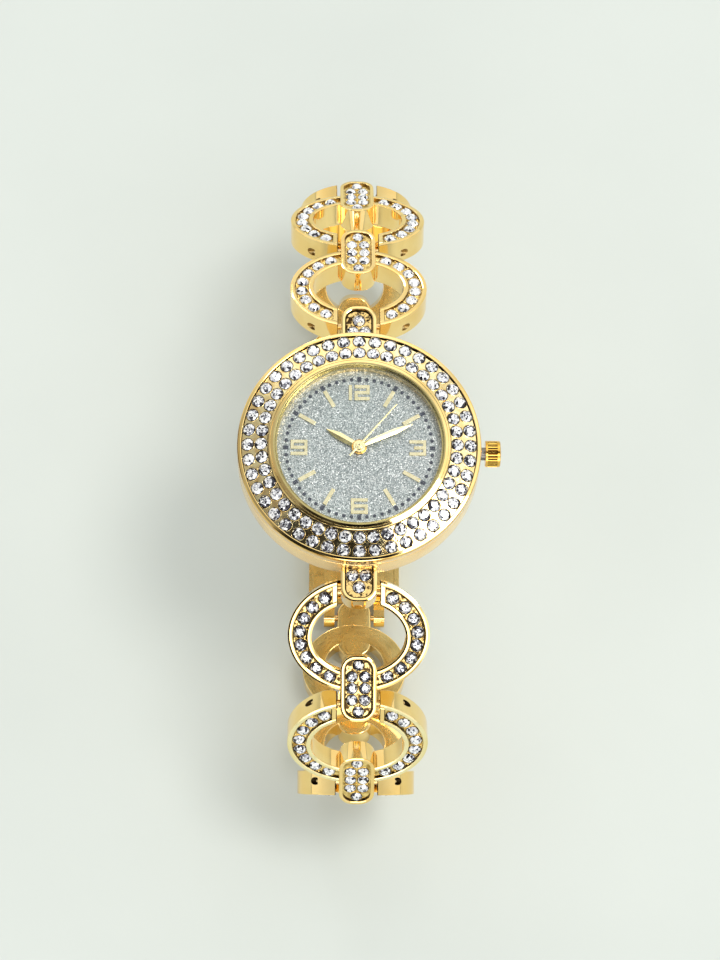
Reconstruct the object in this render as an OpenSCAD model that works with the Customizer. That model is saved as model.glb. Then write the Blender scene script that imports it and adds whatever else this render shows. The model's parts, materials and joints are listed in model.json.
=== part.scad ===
// Bracelet watch with a round stone-set head, ten oval ring links and a folding clasp.
// The bracelet is closed, and the watch stands on the outer face of its clasp.
// Origin: on the resting plane, straight under the axis of the hands.
// +X points to 3 o'clock and the crown, +Y to 12 o'clock, +Z up out of the dial.

/* [Head] */
// Diameter of the case and the bezel
case_d = 30; // [29.4:0.1:32]
// Depth of the case below the top of the dial
case_depth = 4.85; // [4.6:0.05:5.6]
// Height of the bezel's inner edge above the dial
bezel_h = 1.8; // [1.6:0.05:2.2]
// Drop of the bezel's stone channel from its inner to its outer edge
channel_drop = 0.7; // [0.5:0.05:0.8]
// Width of the bezel's outer rim
outer_rim = 0.5; // [0.4:0.05:0.6]
// Diameter of the polished ring that holds the crystal
glass_ring_d = 21.88; // [21.4:0.02:22.1]
// Thickness of the crystal
crystal_t = 0.7; // [0.5:0.05:0.9]
// Thickness of the case back's rim
back_t = 0.5; // [0.4:0.05:0.8]
// Diameter of the stones on the bezel
bezel_stone_d = 1.5; // [1.3:0.05:1.55]

/* [Lug tabs] */
// Width of the tab that carries the first link
tab_w = 4.4; // [4:0.1:4.6]
// Distance of the first link pin from the middle of the head
lug_y = 17.5; // [17.3:0.1:18.2]
// Depth of the first link pin below the top of the dial
lug_drop = 3.4; // [3.3:0.05:3.6]
// Thickness of the tab
tab_t = 3.2; // [2.9:0.05:3.4]

/* [Dial] */
// Thickness of the dial
dial_t = 0.4; // [0.3:0.05:0.5]
// Radius of the ring of minute dots
minute_r = 9.03; // [8.8:0.01:9.2]
// Radius at which the batons stand
baton_r = 7.4; // [7.2:0.05:7.7]
// Length of a baton
baton_l = 2.35; // [1.8:0.05:2.5]
// Width of a baton
baton_w = 0.5; // [0.35:0.05:0.6]
// Height of the batons and numerals
marker_h = 0.18; // [0.12:0.01:0.22]
// Height of a numeral
numeral_h = 2; // [1.7:0.05:2.2]
// Line width of a numeral
stroke = 0.42; // [0.3:0.02:0.46]

/* [Hands] */
// Length of the hour hand from its axis
hour_l = 4.7; // [4.2:0.1:5.4]
// Length of the minute hand from its axis
minute_l = 7.2; // [6.8:0.1:8.4]
// Length of the second hand from its axis
second_l = 7.1; // [6.6:0.1:8.4]
// Tail of the second hand
second_tail = 1.8; // [1.4:0.1:3]
// Width of the hour hand
hour_w = 1; // [0.8:0.05:1.2]
// Clockwise angle of the hour hand from 12 o'clock
hour_angle = 300; // [0:1:359]
// Clockwise angle of the minute hand
minute_angle = 66; // [0:1:359]
// Clockwise angle of the second hand
second_angle = 41; // [0:1:359]

/* [Crown] */
// Diameter of the crown
crown_d = 3.24; // [3:0.02:3.5]
// Length of the crown
crown_l = 1.85; // [1.6:0.05:2.2]
// Gap between the case and the crown
crown_gap = 0.6; // [0.3:0.05:0.8]
// Depth of the crown's axis below the top of the dial
crown_drop = 1.9; // [1.9:0.02:2.1]
// Number of flutes round the crown
flutes = 22; // [16:1:28]
// Diameter of the stem
stem_d = 0.9; // [0.8:0.02:1]
// Travel of the crown when it is pulled out
crown_pull = 1; // [0.8:0.1:1.1]

/* [Movement] */
// Diameter of the main plate
plate_d = 18.4; // [18.2:0.1:18.6]
// Diameter of the battery
battery_d = 6.8; // [6.4:0.1:6.8]
// Height of the battery
battery_h = 1.6; // [1.4:0.05:1.65]
// Wall of the movement holder's ring
holder_w = 0.8; // [0.6:0.05:1.2]

/* [Links] */
// Width across the bracelet of the first two rings
link_w1 = 17.3; // [16.6:0.1:18]
// Length along the bracelet of the first two rings
link_l1 = 13.9; // [13.5:0.1:14.2]
// Width of the third ring
link_w3 = 14.8; // [14.4:0.1:15.4]
// Length of the third ring
link_l3 = 13; // [12.7:0.1:13.3]
// Width of the plain rings
link_w4 = 13.6; // [13.2:0.1:14.2]
// Length of the plain rings
link_l4 = 12.4; // [12.2:0.1:12.7]
// Width of a ring's wall at its sides
side_wall = 2.9; // [2.6:0.05:3]
// Width of a ring's wall at its ends
end_wall = 2.65; // [2.5:0.05:2.75]
// Shift of the opening towards the connecting bar
opening_shift = 0.3; // [0.2:0.05:0.4]
// Height of the face above the pins, first two rings
face_1 = 1.9; // [1.8:0.05:2]
// Height of the face above the pins, the other rings
face_3 = 1.75; // [1.65:0.05:1.85]
// Depth of the back below the pins
link_back = 1.2; // [1.1:0.02:1.24]
// Distance of the pin from the front end of its ring
pin_set = 1.85; // [1.75:0.05:1.9]
// Radius about the pin to which a ring's front end is rounded
turn_r = 1.55; // [1.5:0.01:1.65]
// Gap between one ring and the next as they turn
turn_gap = 0.3; // [0.25:0.05:0.5]
// Width of the gap in a ring that takes the bar before it
ring_gap = 5.2; // [5.1:0.05:5.4]
// Width of the connecting bar
bar_w = 4.4; // [4.2:0.05:4.6]
// Length of the bar past the pin
bar_past = 2.1; // [1.9:0.05:2.2]
// Reach of the bar into its own ring's opening
bar_in = 2.1; // [1.9:0.05:2.3]
// Height of the bar above the ring's face
bar_proud = 0.12; // [0.08:0.02:0.2]
// Diameter of a link pin
pin_d = 0.8; // [0.7:0.02:0.9]
// Diameter of a stone in the links
link_stone_d = 1.4; // [1.25:0.05:1.45]
// Width of the rim round a stone channel
rim_w = 0.5; // [0.4:0.05:0.55]
// Width of the rim round the bar's channel
bar_rim = 0.35; // [0.3:0.05:0.4]
// Depth of a stone channel
channel_t = 0.33; // [0.25:0.01:0.36]

/* [Clasp] */
// Width of the clasp's cover
cover_w = 12; // [11.6:0.1:13]
// Depth of the cover's outer face below the pin line
cover_drop = 2.3; // [2.2:0.02:2.5]
// Thickness of the cover's plate and side walls
cover_t = 0.6; // [0.5:0.05:0.65]
// Height of the cover's side walls above the pin line
wall_up = 0.5; // [0.3:0.05:0.7]
// Thickness of the two blades
blade_t = 0.6; // [0.5:0.05:0.62]
// Width of the middle blade
middle_w = 4.8; // [4.4:0.1:4.9]
// Width of the inner blade and the forks
inner_w = 8; // [7.6:0.1:8.6]
// Diameter of the clasp's two hinge pins
hinge_d = 0.7; // [0.6:0.02:0.76]
// Distance of each blade hinge from the bracelet pin next to it
hinge_set = 4.4; // [4.3:0.05:4.8]

/* [Hidden] */
$fn = 64;

// Clearances: between fixed pieces, round turning pieces, round a stone, and between levels
fit = 0.05;
run = 0.03;
seat_gap = 0.02;
level_gap = 0.05;

// Head radii and heights, measured from the top of the dial
case_r = case_d / 2;
ring_r = glass_ring_d / 2;
dial_r = ring_r + 0.36;
bore_r = dial_r + 2 * fit;
skirt_w = 0.8;
skirt_h = 0.55;
lip_r = ring_r - 0.49;
glass_seat = bezel_h - 0.8;
channel_in = ring_r + 0.31;
channel_out = case_r - outer_rim;
channel_z1 = bezel_h - 0.35;
channel_z2 = channel_z1 - channel_drop;
channel_tilt = atan(channel_drop / (channel_out - channel_in));
row_set = bezel_stone_d / 2 + fit;
row_count = floor(2 * PI * (channel_in + row_set) / (bezel_stone_d + 0.2));
glass_r = ring_r - 0.66;
glass_lip_t = 0.33;
back_r = case_r - 1.7;
gasket_r = (bore_r + back_r) / 2;
gasket_w = 0.4;

// Lug tabs
tab_past = 1.9;
tab_top = -lug_drop + tab_t - 1;
tab_corner = 1.8;
tab_stone_d = 1.4;

// Levels of the movement
plate_r = plate_d / 2;
holder_in = plate_r + 2 * fit;
holder_rib = 1.4;
plate_top = -dial_t - level_gap;
plate_bottom = plate_top - 1.15;
recess_floor = plate_top - 0.7;
bridge_top = -3.15;
bridge_bottom = -3.45;
board_bottom = bridge_bottom - 0.3;
centre_z = plate_bottom - 0.25;
third_z = centre_z - 0.45;
second_z = third_z - 0.45;
inter_z = second_z - 0.3;
wheel_t = 0.13;

// Pitch radii of the going train, from the rotor to the hour wheel
mesh_gap = 0.05;
rotor_pinion = 0.2;
inter_wheel = 6 * rotor_pinion;
inter_pinion = 0.42;
second_wheel_r = 5 * inter_pinion;
second_pinion = 0.3;
third_wheel_r = 7.5 * second_pinion;
third_pinion = (second_pinion + third_wheel_r) / 9;
centre_wheel_r = second_pinion + third_wheel_r - third_pinion;
cannon_r = 0.65;
minute_wheel_r = 3 * cannon_r;
minute_pinion = (cannon_r + minute_wheel_r) / 5;
hour_wheel_r = 4 * minute_pinion;

function polar(r, a) = [r * cos(a), r * sin(a)];
inter_at = polar(second_wheel_r + inter_pinion, 100);
rotor_at = inter_at + polar(inter_wheel + rotor_pinion, 150);
third_at = polar(second_pinion + third_wheel_r, 200);
minute_at = polar(cannon_r + minute_wheel_r, 320);

// Shafts and tubes on the axis of the hands
arbor_r = 0.12;
second_arbor = 0.15;
centre_in = second_arbor + 0.05;
centre_out = 0.42;
hour_in = centre_out + 0.05;
hour_out = 0.75;
hour_z = 0.32;
hour_t = 0.15;
minute_z = hour_z + 0.34;
minute_t = 0.14;
second_z1 = minute_z + 0.32;
second_t = 0.08;
second_cap = 0.14;

// Battery, coil and screws
battery_at = [-3.1, -4.7];
battery_top = -2.5;
coil_y = 6.2;
coil_z = -2.45;
coil_r = 0.68;
coil_half = 3.4;
core_r = 0.3;
stator_t = 0.2;
rotor_r = 0.55;
screw_r = 0.35;
pillar_r = 0.9;
screw_at = [for (a = [30, 150, 310]) polar(plate_r - 1.3, a)];

// Crown and stem
crown_x = case_r + crown_gap;
tube_r = 0.8;
tube_end = crown_x + 0.6;
stem_r = stem_d / 2;
pinion_x = 6.9;
pinion_l = crown_pull + 0.2;
pinion_r = 0.75;
stem_x = pinion_x - 0.3;

// Links: the slope of each ring below the level of the dial, from the head to the clasp
slopes_6 = [21.8, 59.5, 106, 160, 175];
widths = [link_w1, link_w1, link_w3, link_w4, link_w4];
lengths = [link_l1, link_l1, link_l3, link_l4, link_l4];
faces = [face_1, face_1, face_3, face_3, face_3];
function recess(k) = lengths[k] / 2 * (1 - sqrt(1 - pow(ring_gap / widths[k], 2)));
function pitch(k) = lengths[k] - pin_set - recess(k) + turn_r + turn_gap;
function walk(slopes, k) = k == 0 ? [lug_y, -lug_drop]
    : walk(slopes, k - 1) + pitch(k - 1) * [cos(slopes[k - 1]), -sin(slopes[k - 1])];
end_6 = walk(slopes_6, 5);
slopes_12_fixed = [22.5, 36.9, 98, 146];
last_12 = 180 - asin((walk(slopes_12_fixed, 4)[1] - end_6[1]) / pitch(4));
slopes_12 = concat(slopes_12_fixed, [last_12]);
end_12 = walk(slopes_12, 5);
function pin_half(k) = widths[k] / 2 * sqrt(1 - pow(1 - 2 * pin_set / lengths[k], 2)) - 0.15;
function bar_start(k) = lengths[k] - pin_set - end_wall + opening_shift - bar_in;
function bar_end(k) = pitch(k) + bar_past;
pin_r = pin_d / 2;
bar_corner = bar_w / 2 - bar_rim;
stones_a = -55;
stones_b = 61;
stones_n = 8;
pair_x = link_stone_d / 2 + 2 * fit;

// Clasp, measured from the last pin on the 6 o'clock side along the clasp
clasp_l = end_12[0] + end_6[0];
dial_h = cover_drop - end_6[1];
fork_in = ring_gap / 2;
fork_out = inner_w / 2;
fork_r = 1.5 * pin_d;
fork_end = hinge_set - fork_r;
knuckle_r = 0.65;
hinge_r = hinge_d / 2;
plate_end = bar_past + 0.6;
hinge_1 = [clasp_l - hinge_set, -cover_drop + cover_t + knuckle_r + level_gap];
hinge_2 = [hinge_set, hinge_1[1] + 0.6];
middle_z = hinge_1[1] - blade_t / 2;
inner_z = hinge_1[1] + knuckle_r + 0.2;
spring_r = 0.6;

// Shapes used again and again

module head() translate([0, 0, dial_h]) children();

module along_x(x0, x1) translate([x0, 0, 0]) rotate([0, 90, 0]) linear_extrude(x1 - x0) children();

module rod_x(r, half) rotate([0, 90, 0]) cylinder(r = r, h = 2 * half, center = true);

module tube(r1, r0, z0, z1)
    translate([0, 0, z0]) linear_extrude(z1 - z0) difference() { circle(r1); circle(r0); }

module disc(r, z0, z1) translate([0, 0, z0]) cylinder(r = r, h = z1 - z0);

module oval(w, l) scale([w / 2, l / 2]) circle(1);

// Rounded bar in plan, from y0 to y1
module bar_2d(w, y0, y1, corner) {
    translate([-w / 2, y0 + corner]) square([w, y1 - y0 - 2 * corner]);
    translate([-w / 2 + corner, y0]) square([w - 2 * corner, y1 - y0]);
    for (x = [-1, 1], y = [y0 + corner, y1 - corner])
        translate([x * (w / 2 - corner), y]) circle(corner);
}

// A brilliant stone: table, crown, girdle and pavilion, standing in its seat at z = 0
module stone(d)
    rotate_extrude($fn = 24)
        polygon([[0, 0.253 * d], [0.28 * d, 0.253 * d], [0.493 * d, 0.033 * d],
                 [0.493 * d, -0.013 * d], [0.067 * d, -0.28 * d], [0, -0.28 * d]]);

module seat(d) translate([0, 0, -0.28 * d - seat_gap]) cylinder(r = 0.493 * d + seat_gap, h = d);

module at_bezel_stones()
    for (r = [channel_in + row_set, channel_out - row_set], i = [0 : row_count - 1])
        rotate([0, 0, i * 360 / row_count]) translate([r, 0,
            channel_z2 + (channel_out - r) * tan(channel_tilt)]) rotate([0, channel_tilt, 0])
            children();

module at_tab_stones()
    for (side = [0, 180]) rotate([0, 0, side]) translate([0, 0, tab_top - channel_t]) {
        translate([0, lug_y]) children();
        for (x = [-1, 1]) translate([x * (tab_stone_d / 2 + 0.07), lug_y - tab_stone_d - 0.12])
            children();
    }

// Fixed pieces of the head

module case_profile() {
    side_low = case_depth - 1.45;
    round_h = case_depth - side_low;
    polygon(concat(
        [[bore_r, -case_depth], [bore_r, 0], [case_r - skirt_w - fit, 0],
         [case_r - skirt_w - fit, -skirt_h - level_gap], [case_r, -skirt_h - level_gap]],
        [for (a = [0 : 15 : 75]) [case_r - 1.1 + 1.1 * cos(a), -side_low - round_h * sin(a)]],
        [[case_r - 1.1, -case_depth]]));
}

module case_body() color([0.86, 0.74, 0.54]) head() difference() {
    union() {
        rotate_extrude($fn = 128) case_profile();
        for (side = [0, 180]) rotate([0, 0, side]) translate([0, 0, tab_top - tab_t])
            linear_extrude(tab_t) bar_2d(tab_w, case_r - 2 * tab_corner, lug_y + tab_past,
                tab_corner);
    }
    disc(bore_r, -case_depth - 1, 1);
    for (side = [0, 180]) rotate([0, 0, side]) {
        translate([0, 0, tab_top - channel_t]) linear_extrude(channel_t + 1) difference() {
            bar_2d(tab_w - 2 * bar_rim, case_r - 1.5, lug_y + tab_past - bar_rim,
                tab_corner - bar_rim);
            circle(case_r);
        }
        translate([0, lug_y, -lug_drop]) rod_x(pin_r, tab_w);
    }
    at_tab_stones() seat(tab_stone_d);
    translate([0, 0, -crown_drop]) along_x(bore_r - 1, case_r + 1) circle(tube_r);
    difference() {
        tube(gasket_r + gasket_w / 2 + fit, gasket_r - gasket_w / 2 - fit,
            -case_depth - 1, -case_depth + gasket_w);
    }
}

module bezel() color([0.85, 0.80, 0.57]) head() difference() {
    rotate_extrude($fn = 128) polygon([
        [lip_r, 0], [case_r - skirt_w, 0], [case_r - skirt_w, -skirt_h],
        [case_r - 0.1, -skirt_h], [case_r, -skirt_h + 0.1],
        [case_r, channel_z2 + 0.1], [case_r - 0.15, channel_z2 + 0.32],
        [channel_out + 0.1, channel_z2 + 0.32], [channel_out, channel_z2 + 0.22],
        [channel_out, channel_z2], [channel_in, channel_z1], [channel_in, bezel_h - 0.1],
        [channel_in - 0.1, bezel_h], [ring_r + 0.04, bezel_h], [ring_r + 0.04, glass_seat],
        [lip_r, glass_seat]]);
    at_bezel_stones() seat(bezel_stone_d);
}

module head_stones() color([0.92, 0.93, 0.95]) head() {
    at_bezel_stones() stone(bezel_stone_d);
    at_tab_stones() stone(tab_stone_d);
}

module crystal_ring() color([0.87, 0.81, 0.56]) head() rotate_extrude($fn = 128) polygon([
    [glass_r - 0.18, glass_seat], [ring_r, glass_seat], [ring_r, bezel_h],
    [ring_r - 0.1, bezel_h + 0.1], [glass_r + seat_gap + 0.1, bezel_h + 0.1],
    [glass_r + seat_gap, bezel_h], [glass_r + seat_gap, glass_seat + glass_lip_t],
    [glass_r - 0.18, glass_seat + glass_lip_t]]);

module crystal() color([0.9, 0.95, 0.95, 0.35]) head() rotate_extrude($fn = 128) {
    z0 = glass_seat + glass_lip_t;
    polygon([[0, z0], [glass_r, z0], [glass_r, z0 + crystal_t - 0.2],
             [glass_r - 0.3, z0 + crystal_t], [0, z0 + crystal_t]]);
}

module case_back() color([0.80, 0.80, 0.80]) head() difference() {
    union() {
        disc(back_r, -case_depth - back_t, -case_depth);
        tube(bore_r - fit, bore_r - fit - 0.8, -case_depth, -case_depth + 0.55);
    }
    translate([0, -back_r, -case_depth - back_t]) cube([3, 0.8, 0.5], center = true);
}

module back_gasket() color([0.1, 0.1, 0.1]) head() rotate_extrude($fn = 96)
    translate([gasket_r, -case_depth + gasket_w / 2]) circle(gasket_w / 2 - 0.01, $fn = 24);

module dial() color([0.80, 0.83, 0.83]) head() tube(dial_r, hour_out + 0.1, -dial_t, 0);

// Squared numerals: a block with slots cut between its lines
numeral_w = numeral_h * 1.05;
slot_h = (numeral_h - 3 * stroke) / 2;

module block_2d(w) square([w, numeral_h], center = true);

module slot_2d(x0, x1, side) translate([x0, side * (stroke + slot_h) / 2 - slot_h / 2])
    square([x1 - x0, slot_h]);

module digit_2(w) difference() {
    block_2d(w);
    slot_2d(-w, w / 2 - stroke, 1);
    slot_2d(stroke - w / 2, w, -1);
}

module digit_3(w) difference() {
    block_2d(w);
    slot_2d(-w, w / 2 - stroke, 1);
    slot_2d(-w, w / 2 - stroke, -1);
    translate([-w, -(stroke + slot_h) / 2]) square([w * 0.78, stroke + slot_h]);
}

module digit_6(w) difference() {
    block_2d(w);
    slot_2d(stroke - w / 2, w, 1);
    slot_2d(stroke - w / 2, w / 2 - stroke, -1);
}

module numeral(r, a) rotate([0, 0, -a]) translate([0, r]) rotate([0, 0, a]) children();

module hour_markers() color([0.86, 0.82, 0.58]) head() linear_extrude(marker_h) {
    numeral(baton_r - 0.15, 0) {
        translate([-numeral_h * 0.65 + stroke / 2, 0]) block_2d(stroke);
        translate([numeral_h * 0.18, 0]) digit_2(numeral_h * 0.94);
    }
    numeral(baton_r - 0.2, 90) digit_3(numeral_w);
    numeral(baton_r + 0.2, 180) digit_6(numeral_w);
    numeral(baton_r, 270) rotate([0, 0, 180]) digit_6(numeral_w);
    for (h = [1 : 11]) if (h % 3 != 0) rotate([0, 0, -30 * h])
        translate([-baton_w / 2, baton_r - baton_l / 2]) square([baton_w, baton_l]);
}

module minute_track() color([0.12, 0.15, 0.24]) head() linear_extrude(marker_h / 3)
    for (m = [0 : 59]) rotate([0, 0, -6 * m]) translate([0, minute_r])
        if (m % 5 == 0) square(stroke, center = true); else circle(0.18);

module movement_holder() color([0.93, 0.93, 0.90]) head() difference() {
    translate([0, 0, -case_depth + 0.65]) linear_extrude(case_depth - 0.65 - dial_t) {
        difference() {
            circle(holder_in + holder_w);
            circle(holder_in);
        }
        intersection() {
            difference() {
                circle(dial_r);
                circle(holder_in + holder_w / 2);
            }
            for (a = [0 : 60 : 120]) rotate([0, 0, a + 30])
                square([2 * dial_r + 1, holder_rib], center = true);
        }
    }
    translate([0, 0, -crown_drop]) along_x(0, case_r) circle(stem_r + 0.1);
}

module pivot_hole(at, r, z0, z1) translate([at[0], at[1], 0]) disc(r + 0.02, z0, z1);

module main_plate() color([0.83, 0.76, 0.55]) head() difference() {
    union() {
        disc(plate_r, plate_bottom, plate_top);
        for (p = screw_at) translate(p) disc(pillar_r, bridge_top, plate_bottom + 0.1);
    }
    difference() {
        union() {
            disc(hour_wheel_r + 0.2, recess_floor, 1);
            translate(minute_at) disc(minute_wheel_r + 0.15, recess_floor, 1);
        }
        translate(minute_at) disc(0.2, recess_floor - 1, plate_top - 0.1);
    }
    disc(centre_out + run, plate_bottom - 1, 1);
    pivot_hole(third_at, arbor_r, plate_bottom - 1, plate_bottom + 0.35);
    pivot_hole(inter_at, arbor_r, plate_bottom - 1, plate_bottom + 0.35);
    pivot_hole(rotor_at, arbor_r - 0.02, plate_bottom - 1, plate_bottom + 0.35);
    for (p = screw_at) translate(p) disc(screw_r, bridge_top - 1, plate_bottom);
    translate([0, 0, -crown_drop]) {
        along_x(stem_x - 0.2, case_r) circle(stem_r + 0.1);
        along_x(pinion_x - 0.1, pinion_x + pinion_l + 0.1) circle(pinion_r + 0.1);
    }
}

module train_bridge() color([0.85, 0.78, 0.60]) head() difference() {
    disc(plate_r, bridge_bottom, bridge_top);
    translate(battery_at) disc(battery_d / 2 + 0.1, bridge_bottom - 1, bridge_top + 1);
    for (p = screw_at) translate(p) disc(screw_r + fit, bridge_bottom - 1, bridge_top + 1);
    pivot_hole([0, 0], second_arbor, bridge_bottom - 1, bridge_top + 1);
    pivot_hole(third_at, arbor_r, bridge_bottom - 1, bridge_top + 1);
    pivot_hole(inter_at, arbor_r, bridge_bottom - 1, bridge_top + 1);
    pivot_hole(rotor_at, arbor_r - 0.02, bridge_bottom - 1, bridge_top + 1);
}

module circuit_board() color([0.10, 0.35, 0.20]) head() {
    difference() {
        disc(plate_r - 0.3, board_bottom, bridge_bottom);
        translate(battery_at) disc(battery_d / 2 + 0.1, board_bottom - 1, bridge_bottom + 1);
        for (p = screw_at) translate(p) disc(screw_r + fit, board_bottom - 1, bridge_bottom + 1);
    }
    translate([3, 0, board_bottom - 0.3]) cube([2, 2, 0.3]);
}

module battery() color([0.75, 0.76, 0.78]) head() translate(battery_at) {
    disc(battery_d / 2, battery_top - battery_h, battery_top - 0.25);
    disc(battery_d / 2 - 0.5, battery_top - 0.25, battery_top);
}

module coil() color([0.72, 0.38, 0.18]) head() translate([0, coil_y, coil_z]) {
    along_x(-coil_half, coil_half) difference() { circle(coil_r - 0.08); circle(core_r + run); }
    for (x = [-coil_half, coil_half - 0.25]) along_x(x, x + 0.25) difference() {
        circle(coil_r);
        circle(core_r + run);
    }
}

module stator() color([0.65, 0.66, 0.68]) head() {
    leg = coil_half + level_gap;
    translate([0, 0, coil_z - stator_t / 2]) linear_extrude(stator_t) difference() {
        union() {
            translate(rotor_at) circle(2.1 * rotor_r);
            translate([-leg - 0.7, rotor_at[1] - 0.3]) square([leg + rotor_at[0] + 0.7, 0.6]);
            translate([rotor_at[0], rotor_at[1] + 0.15]) square([leg - rotor_at[0] + 0.7, 0.6]);
            for (x = [-leg - 0.7, leg]) translate([x, rotor_at[1] - 0.3])
                square([0.7, coil_y - rotor_at[1] + 0.7]);
        }
        translate(rotor_at) circle(rotor_r + 0.2);
    }
    translate([0, coil_y, coil_z]) rod_x(core_r, leg + 0.5);
}

module movement_screws() color([0.55, 0.58, 0.62]) head() for (p = screw_at) translate(p) {
    disc(screw_r, board_bottom, plate_bottom - 0.3);
    difference() {
        disc(2 * screw_r, board_bottom - 0.25, board_bottom);
        translate([0, 0, board_bottom - 0.25]) cube([2, 0.15, 0.2], center = true);
    }
}

module crown_tube() color([0.80, 0.70, 0.45]) head() translate([0, 0, -crown_drop])
    along_x(bore_r + 0.6, tube_end) difference() { circle(tube_r); circle(stem_r + fit); }

module lug_pins() color([0.78, 0.72, 0.55]) head() for (y = [-1, 1])
    translate([0, y * lug_y, -lug_drop]) rod_x(pin_r, pin_half(0));

// Going train and hands

module rotor() color([0.35, 0.36, 0.40]) head() translate(rotor_at) {
    disc(rotor_r, inter_z + 0.25, coil_z + 0.35);
    disc(rotor_pinion - mesh_gap / 2, inter_z - 0.05, inter_z + 0.25);
    disc(arbor_r - 0.02, bridge_bottom + 0.05, plate_bottom + 0.3);
}

module intermediate_wheel() color([0.83, 0.72, 0.40]) head() translate(inter_at) {
    disc(inter_wheel - mesh_gap, inter_z, inter_z + wheel_t);
    disc(inter_pinion - mesh_gap, inter_z + wheel_t, second_z + wheel_t + 0.02);
    disc(arbor_r, bridge_bottom + 0.05, plate_bottom + 0.3);
}

module second_wheel() color([0.83, 0.72, 0.40]) head() {
    disc(second_wheel_r - mesh_gap, second_z, second_z + wheel_t);
    disc(second_pinion - mesh_gap, second_z + wheel_t, third_z + wheel_t + 0.05);
    disc(second_arbor, bridge_bottom + 0.05, second_z1 + second_t);
}

module second_hand() color([0.86, 0.80, 0.55]) head() {
    rotate([0, 0, -second_angle]) difference() {
        union() {
            translate([0, 0, second_z1]) linear_extrude(second_t) {
                circle(0.5);
                polygon([[-0.1, 0], [0.1, 0], [0.06, second_l], [-0.06, second_l]]);
                polygon([[-0.1, 0], [0.1, 0], [0.12, -second_tail], [-0.12, -second_tail]]);
            }
            disc(0.35, second_z1, second_z1 + second_t + second_cap);
        }
        disc(second_arbor, second_z1 - 1, second_z1 + second_t);
    }
}

module third_wheel() color([0.83, 0.72, 0.40]) head() translate(third_at) {
    disc(third_wheel_r - mesh_gap, third_z, third_z + wheel_t);
    disc(third_pinion - mesh_gap, third_z + wheel_t, centre_z + wheel_t + 0.02);
    disc(arbor_r, bridge_bottom + 0.05, plate_bottom + 0.3);
}

module centre_wheel() color([0.83, 0.72, 0.40]) head() difference() {
    union() {
        disc(centre_wheel_r - mesh_gap, centre_z, centre_z + wheel_t);
        disc(cannon_r - mesh_gap, recess_floor + 0.05, recess_floor + 0.23);
        disc(centre_out, centre_z, minute_z + minute_t);
    }
    disc(centre_in, centre_z - 1, minute_z + 1);
}

module minute_hand() color([0.86, 0.80, 0.55]) head() rotate([0, 0, -minute_angle])
    translate([0, 0, minute_z]) linear_extrude(minute_t) difference() {
        union() {
            circle(centre_out + 0.33);
            polygon([[-0.36, 0], [0.36, 0], [0.36, minute_l * 0.7], [0, minute_l],
                     [-0.36, minute_l * 0.7]]);
        }
        circle(centre_out);
    }

module minute_wheel() color([0.83, 0.72, 0.40]) head() translate(minute_at) difference() {
    union() {
        disc(minute_wheel_r - mesh_gap, recess_floor + 0.05, recess_floor + 0.2);
        disc(minute_pinion - mesh_gap, recess_floor + 0.2, plate_top - 0.15);
    }
    disc(0.2 + 0.02, recess_floor - 1, 1);
}

module hour_wheel() color([0.83, 0.72, 0.40]) head() difference() {
    union() {
        disc(hour_wheel_r - mesh_gap, recess_floor + 0.3, plate_top - 0.15);
        disc(hour_out, recess_floor + 0.3, hour_z + hour_t);
    }
    disc(hour_in, recess_floor - 1, hour_z + 1);
}

module hour_hand() color([0.86, 0.80, 0.55]) head() rotate([0, 0, -hour_angle])
    translate([0, 0, hour_z]) linear_extrude(hour_t) difference() {
        union() {
            circle(hour_out + 0.2);
            polygon([[-hour_w / 2, 0], [hour_w / 2, 0], [hour_w / 2, hour_l * 0.65], [0, hour_l],
                     [-hour_w / 2, hour_l * 0.65]]);
        }
        circle(hour_out);
    }

// Crown works

module sliding_pinion() color([0.70, 0.71, 0.73]) head() translate([0, 0, -crown_drop])
    along_x(pinion_x, pinion_x + pinion_l) difference() { circle(pinion_r); circle(stem_r + run); }

module crown() color([0.60, 0.42, 0.12]) head() translate([crown_x, 0, -crown_drop])
    rotate([0, 90, 0]) difference() {
        union() {
            cylinder(r = crown_d / 2 - 0.15, h = 0.25);
            translate([0, 0, 0.25]) cylinder(r = crown_d / 2, h = crown_l - 0.55);
            translate([0, 0, crown_l - 0.3])
                cylinder(r1 = crown_d / 2 - 0.05, r2 = crown_d / 2 - 0.45, h = 0.3);
        }
        for (i = [0 : flutes - 1]) rotate([0, 0, i * 360 / flutes])
            translate([crown_d / 2 + 0.03, 0, 0.25]) cylinder(r = 0.12, h = crown_l, $fn = 24);
        translate([0, 0, -1]) cylinder(r = tube_r + fit, h = 1 + tube_end - crown_x + 0.1);
        cylinder(r = stem_r, h = crown_l - 0.4);
    }

module stem() color([0.66, 0.67, 0.70]) head() translate([0, 0, -crown_drop])
    along_x(stem_x, crown_x + crown_l - 0.4) circle(stem_r);

// Links, each in its own frame: the front pin at the origin, +Y along the bracelet, +Z outwards

module at_link(slopes, k) {
    at = walk(slopes, k);
    head() translate([0, at[0], at[1]]) rotate([-slopes[k], 0, 0]) children();
}

module side_6() rotate([0, 0, 180]) children();

module at_ring_stones(k) {
    half_x = (widths[k] / 2 - rim_w + widths[k] / 2 - side_wall + rim_w) / 2;
    half_y = (lengths[k] / 2 - rim_w + lengths[k] / 2 - end_wall + rim_w) / 2;
    for (side = [-1, 1], i = [0 : stones_n - 1]) {
        t = stones_a + (stones_b - stones_a) * i / (stones_n - 1);
        translate([side * half_x * cos(t),
            lengths[k] / 2 - pin_set + opening_shift / 2 + half_y * sin(t),
            faces[k] - channel_t]) children();
    }
}

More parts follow.
